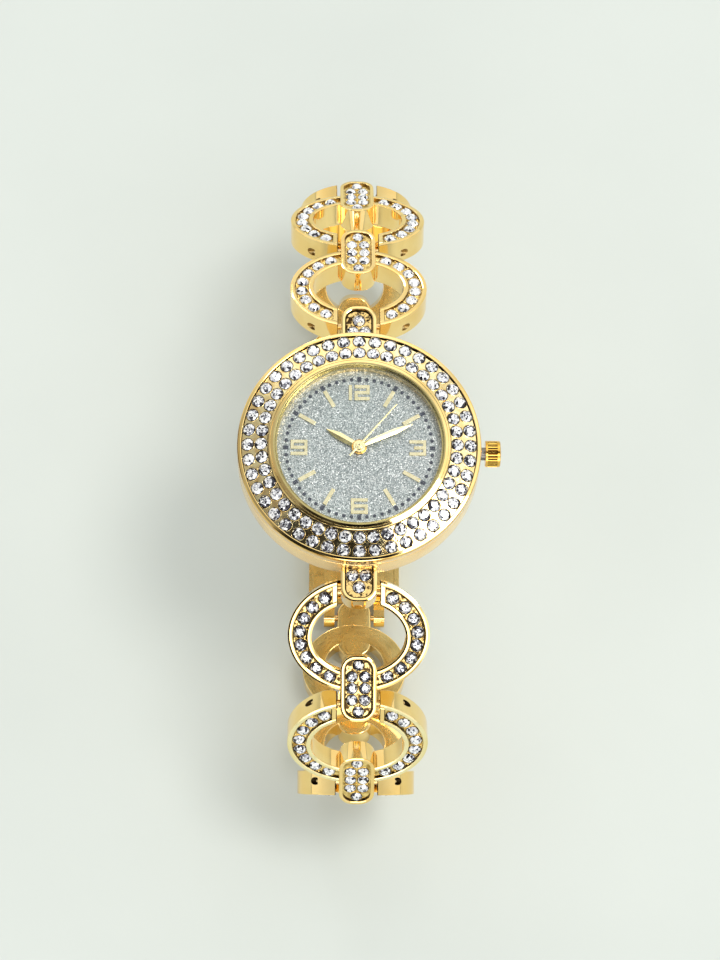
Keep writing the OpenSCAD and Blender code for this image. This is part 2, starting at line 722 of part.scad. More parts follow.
module at_bar_stones(k) {
    first = bar_start(k) + bar_rim + link_stone_d / 2 + 0.03;
    last = bar_end(k) - bar_rim - link_stone_d / 2 - 0.03;
    translate([0, 0, faces[k] + bar_proud - channel_t]) for (i = [0 : 4]) {
        y = first + (last - first) * i / 4;
        if (i == 0 || i == 4) translate([0, y]) children();
        else for (x = [-pair_x, pair_x]) translate([x, y]) children();
    }
}

module ring_plan(w, l, grow_out, grow_in) difference() {
    oval(w + 2 * grow_out, l + 2 * grow_out);
    translate([0, opening_shift])
        oval(w - 2 * side_wall - 2 * grow_in, l - 2 * end_wall - 2 * grow_in);
}

// Ring and bar of link k, with stone channels if stones is true
module link(k, stones, front_r, tail_r) {
    w = widths[k];
    l = lengths[k];
    mid = l / 2 - pin_set;
    top = faces[k];
    difference() {
        union() {
            translate([0, mid, -link_back]) linear_extrude(top + link_back) ring_plan(w, l, 0, 0);
            translate([0, 0, -link_back]) linear_extrude(top + bar_proud + link_back)
                bar_2d(bar_w, bar_start(k), bar_end(k), bar_corner);
        }
        translate([-ring_gap / 2, -pin_set - 1, -link_back - 1])
            cube([ring_gap, end_wall + 1 + 0.5 * l - end_wall, top + link_back + 2]);
        difference() {
            translate([-w / 2, -pin_set - 1, -link_back - 1]) cube([w, pin_set + 1, link_back + 1]);
            rod_x(turn_r, w);
        }
        rod_x(front_r, w);
        translate([0, pitch(k), 0]) rod_x(tail_r, bar_w);
        if (stones) {
            translate([0, mid, top - channel_t]) linear_extrude(1) difference() {
                ring_plan(w, l, -rim_w, -rim_w);
                translate([-ring_gap / 2 - rim_w, -l]) square([ring_gap + 2 * rim_w, l]);
                translate([-bar_w / 2, 0]) square([bar_w, l]);
            }
            translate([0, 0, top + bar_proud - channel_t]) linear_extrude(1)
                bar_2d(bar_w - 2 * bar_rim, bar_start(k) + bar_rim, bar_end(k) - bar_rim,
                    bar_corner - bar_rim);
            at_ring_stones(k) seat(link_stone_d);
            at_bar_stones(k) seat(link_stone_d);
        }
    }
}

module link_stones(k) {
    at_ring_stones(k) stone(link_stone_d);
    at_bar_stones(k) stone(link_stone_d);
}

module gold() color([0.87, 0.76, 0.50]) children();

module ice() color([0.92, 0.93, 0.95]) children();

module link_6_1() gold() side_6() at_link(slopes_6, 0) link(0, true, pin_r + run, pin_r + run);
module link_6_2() gold() side_6() at_link(slopes_6, 1) link(1, true, pin_r, pin_r);
module link_6_3() gold() side_6() at_link(slopes_6, 2) link(2, true, pin_r + run, pin_r + run);
module link_6_4() gold() side_6() at_link(slopes_6, 3) link(3, false, pin_r, pin_r);
module link_6_5() gold() side_6() at_link(slopes_6, 4) link(4, false, pin_r + run, pin_r + run);
module link_12_1() gold() at_link(slopes_12, 0) link(0, true, pin_r + run, pin_r + run);
module link_12_2() gold() at_link(slopes_12, 1) link(1, true, pin_r, pin_r);
module link_12_3() gold() at_link(slopes_12, 2) link(2, true, pin_r + run, pin_r + run);
module link_12_4() gold() at_link(slopes_12, 3) link(3, false, pin_r, pin_r);
module link_12_5() gold() at_link(slopes_12, 4)
    link(4, false, pin_r + run, spring_r + seat_gap);

module stones_6_1() ice() side_6() at_link(slopes_6, 0) link_stones(0);
module stones_6_2() ice() side_6() at_link(slopes_6, 1) link_stones(1);
module stones_6_3() ice() side_6() at_link(slopes_6, 2) link_stones(2);
module stones_12_1() ice() at_link(slopes_12, 0) link_stones(0);
module stones_12_2() ice() at_link(slopes_12, 1) link_stones(1);
module stones_12_3() ice() at_link(slopes_12, 2) link_stones(2);

// Two pins carried by link k, one at each end of it
module link_pins(k) color([0.78, 0.72, 0.55]) {
    rod_x(pin_r, pin_half(k));
    translate([0, pitch(k), 0]) rod_x(pin_r, pin_half(k + 1));
}

module pins_6_2() side_6() at_link(slopes_6, 1) link_pins(1);
module pins_6_4() side_6() at_link(slopes_6, 3) link_pins(3);
module pins_12_2() at_link(slopes_12, 1) link_pins(1);
module pins_12_4() at_link(slopes_12, 3) link_pins(3);

// Folding clasp, in a frame at the last pin of the 6 o'clock side, +Y along the clasp

module clasp() head() translate([0, -end_6[0], end_6[1]]) children();

// Solid between x0 and x1 on both sides whose outline in the side view is the child
module both_sides(x0, x1) for (x = [x0, -x1]) translate([x, 0, 0]) rotate([90, 0, 90])
    linear_extrude(x1 - x0) children();

module across(half) rotate([90, 0, 90]) linear_extrude(2 * half, center = true) children();

module clasp_cover() color([0.87, 0.76, 0.50]) clasp() {
    floor_z = -cover_drop + cover_t;
    difference() {
        union() {
            translate([-cover_w / 2, plate_end, -cover_drop])
                cube([cover_w, hinge_1[0] - plate_end, cover_t]);
            both_sides(cover_w / 2 - cover_t, cover_w / 2)
                translate([plate_end, -cover_drop])
                    square([hinge_1[0] - plate_end, cover_drop + wall_up]);
            both_sides(fork_in, fork_out) {
                circle(fork_r);
                polygon([[0, fork_r], [pin_d, fork_r], [fork_end - blade_t / 3, -pin_r],
                         [fork_end, floor_z], [fork_end, -cover_drop],
                         [plate_end, -cover_drop], polar(fork_r, -130)]);
            }
            both_sides(middle_w / 2 + fit, cover_w / 2) {
                translate(hinge_1) circle(knuckle_r);
                translate([hinge_1[0] - knuckle_r, -cover_drop])
                    square([knuckle_r, cover_drop + hinge_1[1]]);
            }
        }
        rod_x(pin_r, cover_w);
        translate([0, hinge_1[0], hinge_1[1]]) rod_x(hinge_r, cover_w);
    }
}

module clasp_pins() color([0.78, 0.72, 0.55]) clasp() {
    rod_x(pin_r, fork_out - 0.1);
    translate([0, hinge_1[0], hinge_1[1]]) rod_x(hinge_r, cover_w / 2 - 0.1);
}

module clasp_middle_blade() color([0.85, 0.74, 0.48]) clasp() difference() {
    across(middle_w / 2) {
        translate([hinge_2[0], middle_z]) square([hinge_1[0] - hinge_2[0], blade_t]);
        translate(hinge_1) circle(knuckle_r);
        translate(hinge_2) circle(knuckle_r);
    }
    translate([0, hinge_1[0], hinge_1[1]]) rod_x(hinge_r + run, cover_w);
    translate([0, hinge_2[0], hinge_2[1]]) rod_x(hinge_r, cover_w);
}

module clasp_blade_pin() color([0.78, 0.72, 0.55]) clasp()
    translate([0, hinge_2[0], hinge_2[1]]) rod_x(hinge_r, fork_out - 0.1);

module clasp_inner_blade() color([0.85, 0.74, 0.48]) clasp() difference() {
    web_end = hinge_1[0] + 0.8;
    union() {
        translate([-fork_out, hinge_2[0] + knuckle_r + 0.1, inner_z])
            cube([2 * fork_out, web_end - hinge_2[0] - knuckle_r - 0.1, blade_t]);
        both_sides(middle_w / 2 + fit, fork_out) {
            translate(hinge_2) circle(knuckle_r);
            translate([hinge_2[0], inner_z]) square([2 * knuckle_r, blade_t]);
        }
        both_sides(fork_in, fork_out) {
            translate([web_end - 1, inner_z]) square([clasp_l - web_end + 1, blade_t]);
            translate([clasp_l, 0]) circle(fork_r);
        }
    }
    translate([0, hinge_2[0], hinge_2[1]]) rod_x(hinge_r + run, cover_w);
    translate([0, clasp_l, 0]) rod_x(pin_r + run, cover_w);
}

module spring_bar() color([0.70, 0.71, 0.73]) clasp() translate([0, clasp_l, 0]) {
    rod_x(spring_r, bar_w / 2 - 0.25);
    rod_x(spring_r - 0.25, bar_w / 2 - fit);
}

case_body();
bezel();
head_stones();
crystal_ring();
crystal();
case_back();
back_gasket();
dial();
hour_markers();
minute_track();
movement_holder();
main_plate();
train_bridge();
circuit_board();
battery();
coil();
stator();
movement_screws();
crown_tube();
lug_pins();
rotor();
intermediate_wheel();
second_wheel();
second_hand();
third_wheel();
centre_wheel();
minute_hand();
minute_wheel();
hour_wheel();
hour_hand();
sliding_pinion();
crown();
stem();
link_6_1();
link_6_2();
link_6_3();
link_6_4();
link_6_5();
stones_6_1();
stones_6_2();
stones_6_3();
pins_6_2();
pins_6_4();
link_12_1();
link_12_2();
link_12_3();
link_12_4();
link_12_5();
stones_12_1();
stones_12_2();
stones_12_3();
pins_12_2();
pins_12_4();
clasp_cover();
clasp_pins();
clasp_middle_blade();
clasp_blade_pin();
clasp_inner_blade();
spring_bar();
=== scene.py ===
import json
import math
import random

import bpy
import bmesh
from mathutils import Matrix, Vector


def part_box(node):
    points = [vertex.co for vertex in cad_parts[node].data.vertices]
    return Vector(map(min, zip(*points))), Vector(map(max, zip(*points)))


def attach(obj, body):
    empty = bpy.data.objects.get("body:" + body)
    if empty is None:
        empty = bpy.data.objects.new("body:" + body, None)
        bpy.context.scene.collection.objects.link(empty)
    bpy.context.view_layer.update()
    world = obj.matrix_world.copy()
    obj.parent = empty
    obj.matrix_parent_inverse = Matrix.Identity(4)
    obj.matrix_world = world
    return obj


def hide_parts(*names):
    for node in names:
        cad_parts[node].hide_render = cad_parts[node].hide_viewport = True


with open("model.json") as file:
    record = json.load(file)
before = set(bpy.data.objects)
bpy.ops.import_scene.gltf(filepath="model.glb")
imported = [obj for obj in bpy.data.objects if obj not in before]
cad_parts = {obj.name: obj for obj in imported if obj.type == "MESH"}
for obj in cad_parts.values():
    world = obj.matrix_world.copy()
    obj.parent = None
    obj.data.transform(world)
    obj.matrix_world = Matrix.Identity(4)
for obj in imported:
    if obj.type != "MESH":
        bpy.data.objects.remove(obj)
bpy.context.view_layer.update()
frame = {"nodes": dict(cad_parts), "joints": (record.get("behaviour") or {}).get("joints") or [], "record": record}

MM = 0.001
NODES = frame["nodes"]
JOINTS = {j["name"]: j for j in frame["joints"]}
SLOTS = {s["node"]: s["material_slot"] for s in frame["record"]["subparts"]}
DIAL = Vector(JOINTS["second_hand_turn"]["pos_m"]) / MM
rng = random.Random(7)


# ---------------------------------------------------------------- materials

MARK_DEPTH, GRAIN_DEPTH = 0.00002, 0.00003    # metres, of polishing marks and of moulded grain
FLAKES, FINE_FLAKES = 11000.0, 19000.0        # the dial's flakes, to the metre


def node(tree, kind, inputs=None, **settings):
    n = tree.nodes.new("ShaderNode" + kind)
    for key, value in settings.items():
        setattr(n, key, value)
    for key, value in (inputs or {}).items():
        if isinstance(value, bpy.types.NodeSocket):
            tree.links.new(value, n.inputs[key])
        else:
            n.inputs[key].default_value = value
    return n


def new_material(name):
    """A new material, its node tree and the object's own coordinates."""
    m = bpy.data.materials.new(name)
    m.use_nodes = True
    m.node_tree.nodes.clear()
    return m, m.node_tree, m.node_tree.nodes.new("ShaderNodeTexCoord").outputs["Object"]


def finish_material(m, shader):
    surface = m.node_tree.nodes.new("ShaderNodeOutputMaterial").inputs["Surface"]
    m.node_tree.links.new(shader.outputs[0], surface)
    return m


def ramp(tree, fac, stops):
    n = tree.nodes.new("ShaderNodeValToRGB")
    tree.links.new(fac, n.inputs["Fac"])
    e = n.color_ramp.elements
    while len(e) < len(stops):
        e.new(0.5)
    for el, (pos, col) in zip(e, stops):
        el.position = pos
        el.color = (*col, 1)
    return n.outputs["Color"]


def noise(tree, coord, scale, detail=3.0, rough=0.5):
    return node(tree, "TexNoise", {"Vector": coord, "Scale": scale, "Detail": detail,
                                   "Roughness": rough}).outputs["Fac"]


def remap(tree, value, a, b, lo=0.3, hi=0.7):
    return node(tree, "MapRange", {"Value": value, "From Min": lo, "From Max": hi,
                                   "To Min": a, "To Max": b}).outputs["Result"]


def metal(name, light, dark, rough, edge, scale=220, bump=0.05, grain=2600, metallic=1.0,
          spread=(0.35, 0.6)):
    """Polished or satin metal: colour drift, uneven gloss, fine polishing marks, rounded edges."""
    m, t, co = new_material(name)
    colour = ramp(t, noise(t, co, scale), [(spread[0], dark), (spread[1], light)])
    gloss = remap(t, noise(t, co, scale * 4, 5), *rough)
    marks = node(t, "Bump", {"Strength": bump, "Distance": MARK_DEPTH,
                             "Height": noise(t, co, grain, 4)})
    if edge:
        rounded = node(t, "Bevel", {"Radius": edge * MM}, samples=4)
        t.links.new(rounded.outputs["Normal"], marks.inputs["Normal"])
    return finish_material(m, node(t, "BsdfPrincipled", {
        "Base Color": colour, "Metallic": metallic, "Roughness": gloss,
        "Normal": marks.outputs["Normal"]}))


def plastic(name, light, dark, rough=0.5):
    """Moulded plastic, rubber or ink: slight colour drift and a fine grain."""
    m, t, co = new_material(name)
    colour = ramp(t, noise(t, co, 900), [(0.35, dark), (0.65, light)])
    grain = node(t, "Bump", {"Strength": 0.2, "Distance": GRAIN_DEPTH,
                             "Height": noise(t, co, 4000, 4)})
    return finish_material(m, node(t, "BsdfPrincipled", {
        "Base Color": colour, "Roughness": rough, "Normal": grain.outputs["Normal"]}))


def glitter(name):
    """Silver glitter lacquer: flakes of about 0.1 mm, each tipped its own way."""
    m, t, co = new_material(name)
    flakes, small = (node(t, "TexVoronoi", {"Vector": co, "Scale": scale, "Randomness": 1.0},
                          feature="F1").outputs["Color"] for scale in (FLAKES, FINE_FLAKES))
    mixed = node(t, "Mix", {"Factor": 0.35}, data_type="VECTOR")
    t.links.new(flakes, mixed.inputs["A"])
    t.links.new(small, mixed.inputs["B"])
    # a flake's random colour tilts the normal
    centred = node(t, "VectorMath", {0: mixed.outputs["Result"], 1: (0.5, 0.5, 0.5)},
                   operation="SUBTRACT")
    tilt = node(t, "VectorMath", {0: centred.outputs["Vector"], 1: (0.5, 0.5, 0.0)},
                operation="MULTIPLY")
    geo = t.nodes.new("ShaderNodeNewGeometry")
    added = node(t, "VectorMath", {0: geo.outputs["Normal"], 1: tilt.outputs["Vector"]},
                 operation="ADD")
    normal = node(t, "VectorMath", {0: added.outputs["Vector"]}, operation="NORMALIZE")
    level = node(t, "SeparateColor", {"Color": flakes}).outputs["Blue"]
    colour = ramp(t, level, [(0.0, (0.12, 0.145, 0.15)), (0.45, (0.275, 0.31, 0.315)),
                             (0.78, (0.44, 0.475, 0.48)), (1.0, (1.0, 1.0, 1.0))])
    return finish_material(m, node(t, "BsdfPrincipled", {
        "Base Color": colour, "Metallic": 0.6, "Roughness": 0.35,
        "Normal": normal.outputs["Vector"]}))


def clear_glass(name):
    """Flat mineral glass: see-through, with a reflection that grows towards the edge."""
    head_on, grazing, steepness = 0.02, 0.6, 5.0
    m, t, co = new_material(name)
    tint = ramp(t, noise(t, co, 60), [(0.3, (0.985, 0.995, 0.992)), (0.7, (1.0, 1.0, 1.0))])
    clear = node(t, "BsdfTransparent", {"Color": tint})
    gloss = node(t, "BsdfGlossy", {"Color": (0.95, 1.0, 1.0, 1), "Roughness": 0.02})
    facing = node(t, "LayerWeight", {"Blend": 0.5}).outputs["Facing"]
    steep = node(t, "Math", {0: facing, 1: steepness}, operation="POWER").outputs["Value"]
    share = node(t, "Math", {0: steep, 1: grazing, 2: head_on}, operation="MULTIPLY_ADD")
    return finish_material(m, node(t, "MixShader", {
        0: share.outputs["Value"], 1: clear.outputs["BSDF"], 2: gloss.outputs["BSDF"]}))


def ice(name, light, dark, rough, metallic):
    """Foiled cut glass: one facet's painted brightness, standing for its reflection and shade, with the faint flow
    of the foil.
    """
    m, t, co = new_material(name)
    colour = ramp(t, noise(t, co, 1500, 2), [(0.3, dark), (0.7, light)])
    return finish_material(m, node(t, "BsdfPrincipled", {
        "Base Color": colour, "Metallic": metallic, "Roughness": rough, "Coat Weight": 0.5,
        "Coat Roughness": 0.02}))


GOLD = metal("gold_polished", (0.99, 0.74, 0.32), (0.95, 0.66, 0.24), (0.03, 0.08), 0.02)
GOLD_SIDE = metal("gold_side", (1.0, 0.74, 0.36), (1.0, 0.67, 0.28), (0.10, 0.22), 0.03,
                  metallic=0.75)
GOLD_FLOOR = metal("gold_channel", (1.0, 0.86, 0.48), (0.88, 0.62, 0.26), (0.05, 0.15), 0,
                   900, 0.7, 1500)
# Gold with near-black patches: painted shade between the stones of the first link at 6 o'clock and of the tabs.
SHADED_GOLD_GAP = metal("gold_between_stones_painted_shade", (0.88, 0.62, 0.24), (0.05, 0.028, 0.01), (0.12, 0.3), 0,
                 1900, 0.9, 3000, spread=(0.46, 0.56))
GOLD_SEAT = metal("gold_seat", (0.92, 0.68, 0.26), (0.42, 0.27, 0.07), (0.10, 0.24), 0,
                  1500, 0.8, 2200)
# Darker olive gold: painted shade on one facet of each hand.
GOLD_SHADED_FACET = metal("gold_facet_painted_shade", (0.82, 0.72, 0.32), (0.70, 0.60, 0.24), (0.15, 0.3), 0.03)
GOLD_PALE = metal("gold_pale", (0.99, 0.88, 0.52), (0.95, 0.80, 0.40), (0.08, 0.18), 0.03)
GOLD_GLASS_RING = metal("gold_glass_ring", (0.47, 0.40, 0.18), (0.40, 0.33, 0.14), (0.16, 0.30),
                        0.03)
GOLD_MARK = metal("gold_numerals", (0.74, 0.67, 0.44), (0.64, 0.57, 0.35), (0.15, 0.3), 0.02, 900)
# A deeper, darker gold for the crown, the band under the bezel's rim and the hour hand's hub: painted shade and
# painted reflection of gold in gold.
AMBER = metal("gold_deep_painted_shade", (0.90, 0.57, 0.13), (0.74, 0.39, 0.05), (0.08, 0.2), 0, 600)
# Near-black brown: painted shade in the valleys of the crown's flutes.
GROOVE_SHADE = metal("gold_flute_painted_shade", (0.10, 0.04, 0.005), (0.03, 0.01, 0.002), (0.2, 0.35), 0, 600)
# Near-black painted shadow, laid on channel walls, stone seats, pin holes and ring ends.
SHADOW = metal("painted_shadow", (0.035, 0.022, 0.008), (0.01, 0.007, 0.004), (0.25, 0.45), 0,
               900, 0.2)
# The same painted shadow in a lighter brown, for the links at 12 o'clock.
LIGHTER_SHADOW = metal("painted_shadow_light", (0.42, 0.29, 0.11), (0.22, 0.14, 0.05), (0.2, 0.4), 0, 900,
              0.2)
STEEL = metal("steel_satin", (0.78, 0.79, 0.80), (0.62, 0.63, 0.65), (0.22, 0.36), 0.06, 300)
BRASS = metal("brass_satin", (0.86, 0.70, 0.38), (0.72, 0.55, 0.26), (0.22, 0.36), 0.05, 300)
COPPER = metal("copper_wire", (0.78, 0.36, 0.16), (0.55, 0.22, 0.09), (0.3, 0.5), 0.03, 1200,
               0.6, 5000)
# Dark grey for the crown's tube and stem: painted shade, as they sit in shadow under the crown.
NECK_SHADE = metal("crown_neck_painted_shade", (0.24, 0.23, 0.21), (0.13, 0.12, 0.11), (0.2, 0.34), 0.04, 400)
PIN = metal("pin_turned", (0.80, 0.58, 0.28), (0.60, 0.40, 0.16), (0.16, 0.3), 0.04, 500)
RUBBER = plastic("rubber_seal", (0.03, 0.03, 0.03), (0.015, 0.015, 0.015), 0.7)
HOLDER = plastic("holder_plastic", (0.86, 0.86, 0.82), (0.74, 0.74, 0.70))
BOARD = plastic("board_resist", (0.05, 0.22, 0.10), (0.03, 0.14, 0.07), 0.35)
PRINT = plastic("dial_print", (0.022, 0.03, 0.06), (0.01, 0.014, 0.035), 0.45)
DIAL_MAT = glitter("dial_glitter")
GLASS = clear_glass("watch_glass")
# Four painted facet brightnesses, from painted reflection to painted shade.
ICE = [ice("stone_bright", (1.0, 1.0, 1.0), (0.94, 0.95, 0.97), 0.03, 0.35),
       ice("stone_pale", (0.84, 0.85, 0.90), (0.68, 0.69, 0.77), 0.05, 0.5),
       ice("stone_grey", (0.45, 0.46, 0.52), (0.29, 0.30, 0.37), 0.06, 0.6),
       ice("stone_dark", (0.06, 0.06, 0.08), (0.02, 0.02, 0.03), 0.08, 0.7)]
BY_SLOT = {"gold": GOLD, "pale_gold": GOLD_PALE, "stone": ICE[1], "crystal": GLASS,
           "dial": DIAL_MAT, "steel": STEEL, "brass": BRASS, "copper": COPPER, "pin": PIN,
           "rubber": RUBBER, "holder": HOLDER, "board": BOARD, "print": PRINT}
BY_NODE = {"hour_markers": GOLD_MARK, "crown_tube": NECK_SHADE, "stem": NECK_SHADE}
for name, obj in NODES.items():
    obj.data.materials.clear()
    obj.data.materials.append(BY_NODE.get(name, BY_SLOT[SLOTS[name]]))


# ---------------------------------------------------------------- mesh helpers, in millimetres

# A casting's materials: its surface, its channel's floor, painted shadow at its channel's walls, ends and holes, a
# second surface, and a line of deeper gold painted as shade.
PLAIN, FLOOR, PAINTED_SHADE, SECOND, LINE = range(5)


def add_object(name, data):
    obj = bpy.data.objects.new(name, data)
    bpy.context.scene.collection.objects.link(obj)
    return obj


def face_outwards(mesh, merge=0.0):
    """Merges points closer than merge and turns the faces outwards."""
    bm = bmesh.new()
    bm.from_mesh(mesh)
    if merge:
        bmesh.ops.remove_doubles(bm, verts=bm.verts, dist=merge)
    bmesh.ops.recalc_face_normals(bm, faces=bm.faces)
    bm.to_mesh(mesh)
    bm.free()


def piece(name, verts, faces, mats, body, replaces, index, angle=32):
    """A piece that rides on a body and stands for CAD nodes; edges above angle stay sharp."""
    mesh = bpy.data.meshes.new(name)
    mesh.from_pydata([tuple(Vector(v) * MM) for v in verts], [], faces)
    mesh.validate()
    face_outwards(mesh)
    for m in mats:
        mesh.materials.append(m)
    for poly, i in zip(mesh.polygons, index):
        poly.material_index = i
    mesh.shade_smooth()
    mesh.set_sharp_from_angle(angle=math.radians(angle))
    obj = add_object(name, mesh)
    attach(obj, body)
    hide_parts(*replaces)


def add_mesh(place, part, verts, faces, index):
    """Adds a part, moved by place, to a growing mesh."""
    v, f, ix = part
    start = len(verts)
    verts += [place @ Vector(p) for p in v]
    faces += [tuple(start + i for i in q) for q in f]
    index += ix


def joint_at(name):
    return Vector(JOINTS[name]["pos_m"]) / MM


def at_dial(angle):
    """The dial's frame, turned about the hands' axis."""
    return Matrix.Translation((0, 0, DIAL.z)) @ Matrix.Rotation(angle, 4, "Z")


def lo_hi(name):
    """A node's box in millimetres, measured from the dial."""
    lo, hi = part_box(name)
    return lo / MM - DIAL, hi / MM - DIAL


def fillet(points, radii, steps, closed=True):
    """Rounds the corners of a polygon, or of an open line, with arcs of so many steps."""
    out = []
    n = len(points)
    for i in range(n):
        p, r = Vector(points[i]), radii[i]
        if r <= 0 or (not closed and i in (0, n - 1)):
            out.append((p.x, p.y))
            continue
        u = (Vector(points[i - 1]) - p).normalized()
        v = (Vector(points[(i + 1) % n]) - p).normalized()
        half = u.angle(v) / 2
        cut = r / math.tan(half)
        centre = p + (u + v).normalized() * (r / math.sin(half))
        a0 = math.atan2(*reversed((p + u * cut - centre)[:]))
        a1 = math.atan2(*reversed((p + v * cut - centre)[:]))
        d = (a1 - a0 + math.pi) % (2 * math.pi) - math.pi
        for k in range(steps + 1):
            a = a0 + d * k / steps
            out.append((centre.x + r * math.cos(a), centre.y + r * math.sin(a)))
    return out


def revolve(profile, segments, kinds=None):
    """Closed profile of (radius, height) turned about the hands' axis."""
    verts, faces, index = [], [], []
    n = len(profile)
    for s in range(segments):
        a = 2 * math.pi * s / segments
        verts += [(r * math.cos(a), r * math.sin(a), z + DIAL.z) for r, z in profile]
    for s in range(segments):
        e = (s + 1) % segments
        for i in range(n):
            j = (i + 1) % n
            faces.append((s * n + i, e * n + i, e * n + j, s * n + j))
            index.append(kinds[i] if kinds else 0)
    return verts, faces, index


def stack(contours, kinds=None):
    """Skin over contours of equal length, closed at both ends."""
    n = len(contours[0])
    verts = [v for c in contours for v in c]
    faces, index = [], []
    for k in range(len(contours) - 1):
        for i in range(n):
            j = (i + 1) % n
            faces.append((k * n + i, k * n + j, (k + 1) * n + j, (k + 1) * n + i))
            index.append(kinds[k] if kinds else 0)
    faces.append(tuple(range(n)))
    index.append(0)
    faces.append(tuple((len(contours) - 1) * n + i for i in range(n)))
    index.append(kinds[-1] if kinds else 0)
    return verts, faces, index


def rounded_bar(w, y0, y1, corner, inset, z, steps=8):
    """Contour of a rounded bar in plan, moved inwards by inset."""
    w, y0, y1 = w - 2 * inset, y0 + inset, y1 - inset
    c = max(corner - inset, 0.02)
    pts = []
    for cx, cy, a0 in ((w / 2 - c, y1 - c, 0), (-w / 2 + c, y1 - c, 90),
                       (-w / 2 + c, y0 + c, 180), (w / 2 - c, y0 + c, 270)):
        for k in range(steps + 1):
            a = math.radians(a0 + 90 * k / steps)
            pts.append((cx + c * math.cos(a), cy + c * math.sin(a), z))
    return pts


# ---------------------------------------------------------------- stones

# A stone piece's materials: four painted brightnesses of facet, standing for reflection and shade, the painted
# shadow round the seat, the grains of metal.
BRIGHT, PALE, GREY, DARK, SEAT_PAINTED_SHADE, GRAIN = range(6)

# A stone's circles of points in diameters: count, radius, height, turn in steps. After the
# table's middle they are the table's corners, the star facets' tips, the girdle's upper and
# lower edge, eight points inside the table and the four circles of the seat.
TABLE_TOP = 0.262
CIRCLES = ((8, 0.25, 0.253, 0.0), (8, 0.37, 0.15, 0.5), (16, 0.45, 0.06, 0.0),
           (16, 0.45, -0.03, 0.0), (8, 0.15, 0.2575, 0.5), (16, 0.45, 0.04, 0.0),
           (16, 0.5, 0.04, 0.0), (16, 0.508, 0.06, 0.0), (16, 0.52, -0.02, 0.0))
TABLE, STAR, GIRDLE, GIRDLE_LOW, MIDDLE, SEATING = 1, 9, 17, 33, 49, 57    # their first points
WOBBLE = 0.03                             # most that a stone tilts, in radians
DARK_SHARE, GREY_SHARE, PALE_SHARE = 0.08, 0.21, 0.38    # of the facets, each with those before
DEEPER = 0.22                             # how far one step of deep, the amount of painted shade, moves those shares

GRAIN_LINE = ((0, 1), (0.5, 0.87), (0.87, 0.5), (1, 0), (1, -0.3))    # radius and height


def stone_mesh(place, d, deep, verts, faces, index):
    """A brilliant of diameter d on its gold seat; its facets' brightness is painted, with more painted shade the
    larger deep is.
    """
    start = len(verts)
    spin = rng.random() * math.pi / 4
    tilt = Matrix.Rotation(rng.uniform(-WOBBLE, WOBBLE), 4, "X") @ \
        Matrix.Rotation(rng.uniform(-WOBBLE, WOBBLE), 4, "Y")
    pts = [(0.0, 0.0, TABLE_TOP)]
    for count, r, z, shift in CIRCLES:
        for k in range(count):
            a = spin + 2 * math.pi * (k + shift) / count
            pts.append((r * math.cos(a), r * math.sin(a), z))
    verts += [place @ (tilt @ (Vector(p) * d)) for p in pts]

    def add(kind, *ids):
        faces.append(tuple(start + i for i in ids))
        index.append(kind)

    def shade(extra=0.0):
        q = rng.random() - DEEPER * deep - extra
        if q < DARK_SHARE:
            return DARK
        return GREY if q < GREY_SHARE else PALE if q < PALE_SHARE else BRIGHT

    # Each facet's painted brightness is drawn at random; facets nearer the girdle are dark more often.
    table = [shade() for _ in range(8)]
    for k in range(8):
        here, after, middle = TABLE + k, TABLE + (k + 1) % 8, MIDDLE + k
        star, star_before = STAR + k, STAR + (k - 1) % 8
        low, half, low_after = (GIRDLE + (2 * k + i) % 16 for i in range(3))
        add(table[k], 0, here, middle)
        add(table[(k + 3) % 8], 0, middle, after)
        add(shade(), middle, here, after)
        add(shade(0.05), here, after, star)
        add(shade(0.08), here, star_before, low, star)
        add(shade(0.08), star, low, half)
        add(shade(0.14), star, half, low_after)
    for k in range(16):
        j = (k + 1) % 16
        # The girdle band is painted dark, and the seat's inner ring is painted shadow.
        add(DARK, GIRDLE + k, GIRDLE + j, GIRDLE_LOW + j, GIRDLE_LOW + k)
        for r, kind in enumerate((SEAT_PAINTED_SHADE, GRAIN, GRAIN)):
            a, b = SEATING + 16 * r, SEATING + 16 * (r + 1)
            add(kind, a + k, a + j, b + j, b + k)


def bead(place, r, verts, faces, index):
    """A small raised grain of metal between the stones."""
    start = len(verts)
    for a, b in GRAIN_LINE:
        for k in range(8):
            t = k * math.pi / 4
            verts.append(place @ Vector((a * r * math.cos(t), a * r * math.sin(t), b * r)))
    for q in range(len(GRAIN_LINE) - 1):
        for k in range(8):
            j = (k + 1) % 8
            faces.append((start + 8 * q + k, start + 8 * (q + 1) + k,
                          start + 8 * (q + 1) + j, start + 8 * q + j))
            index.append(GRAIN)


def stone_piece(name, items, beads, body, node_name, wall=SHADOW, seat=GOLD_FLOOR):
    """Stones given as (place, diameter, deep) and grains as (place, radius); deep is the amount of painted shade,
    wall the painted shadow round each seat.
    """
    verts, faces, index = [], [], []
    for place, d, deep in items:
        stone_mesh(place, d, deep, verts, faces, index)
    for place, r in beads:
        bead(place, r, verts, faces, index)
    mesh = bpy.data.meshes.new(name)
    mesh.from_pydata([tuple(v * MM) for v in verts], [], faces)
    for m in ICE + [wall, seat]:
        mesh.materials.append(m)
    mesh.polygons.foreach_set("material_index", index)
    mesh.polygons.foreach_set("use_smooth", [i == GRAIN for i in index])
    face_outwards(mesh, 1e-8)
    obj = add_object(name, mesh)
    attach(obj, body)
    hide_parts(node_name)


# ---------------------------------------------------------------- the head

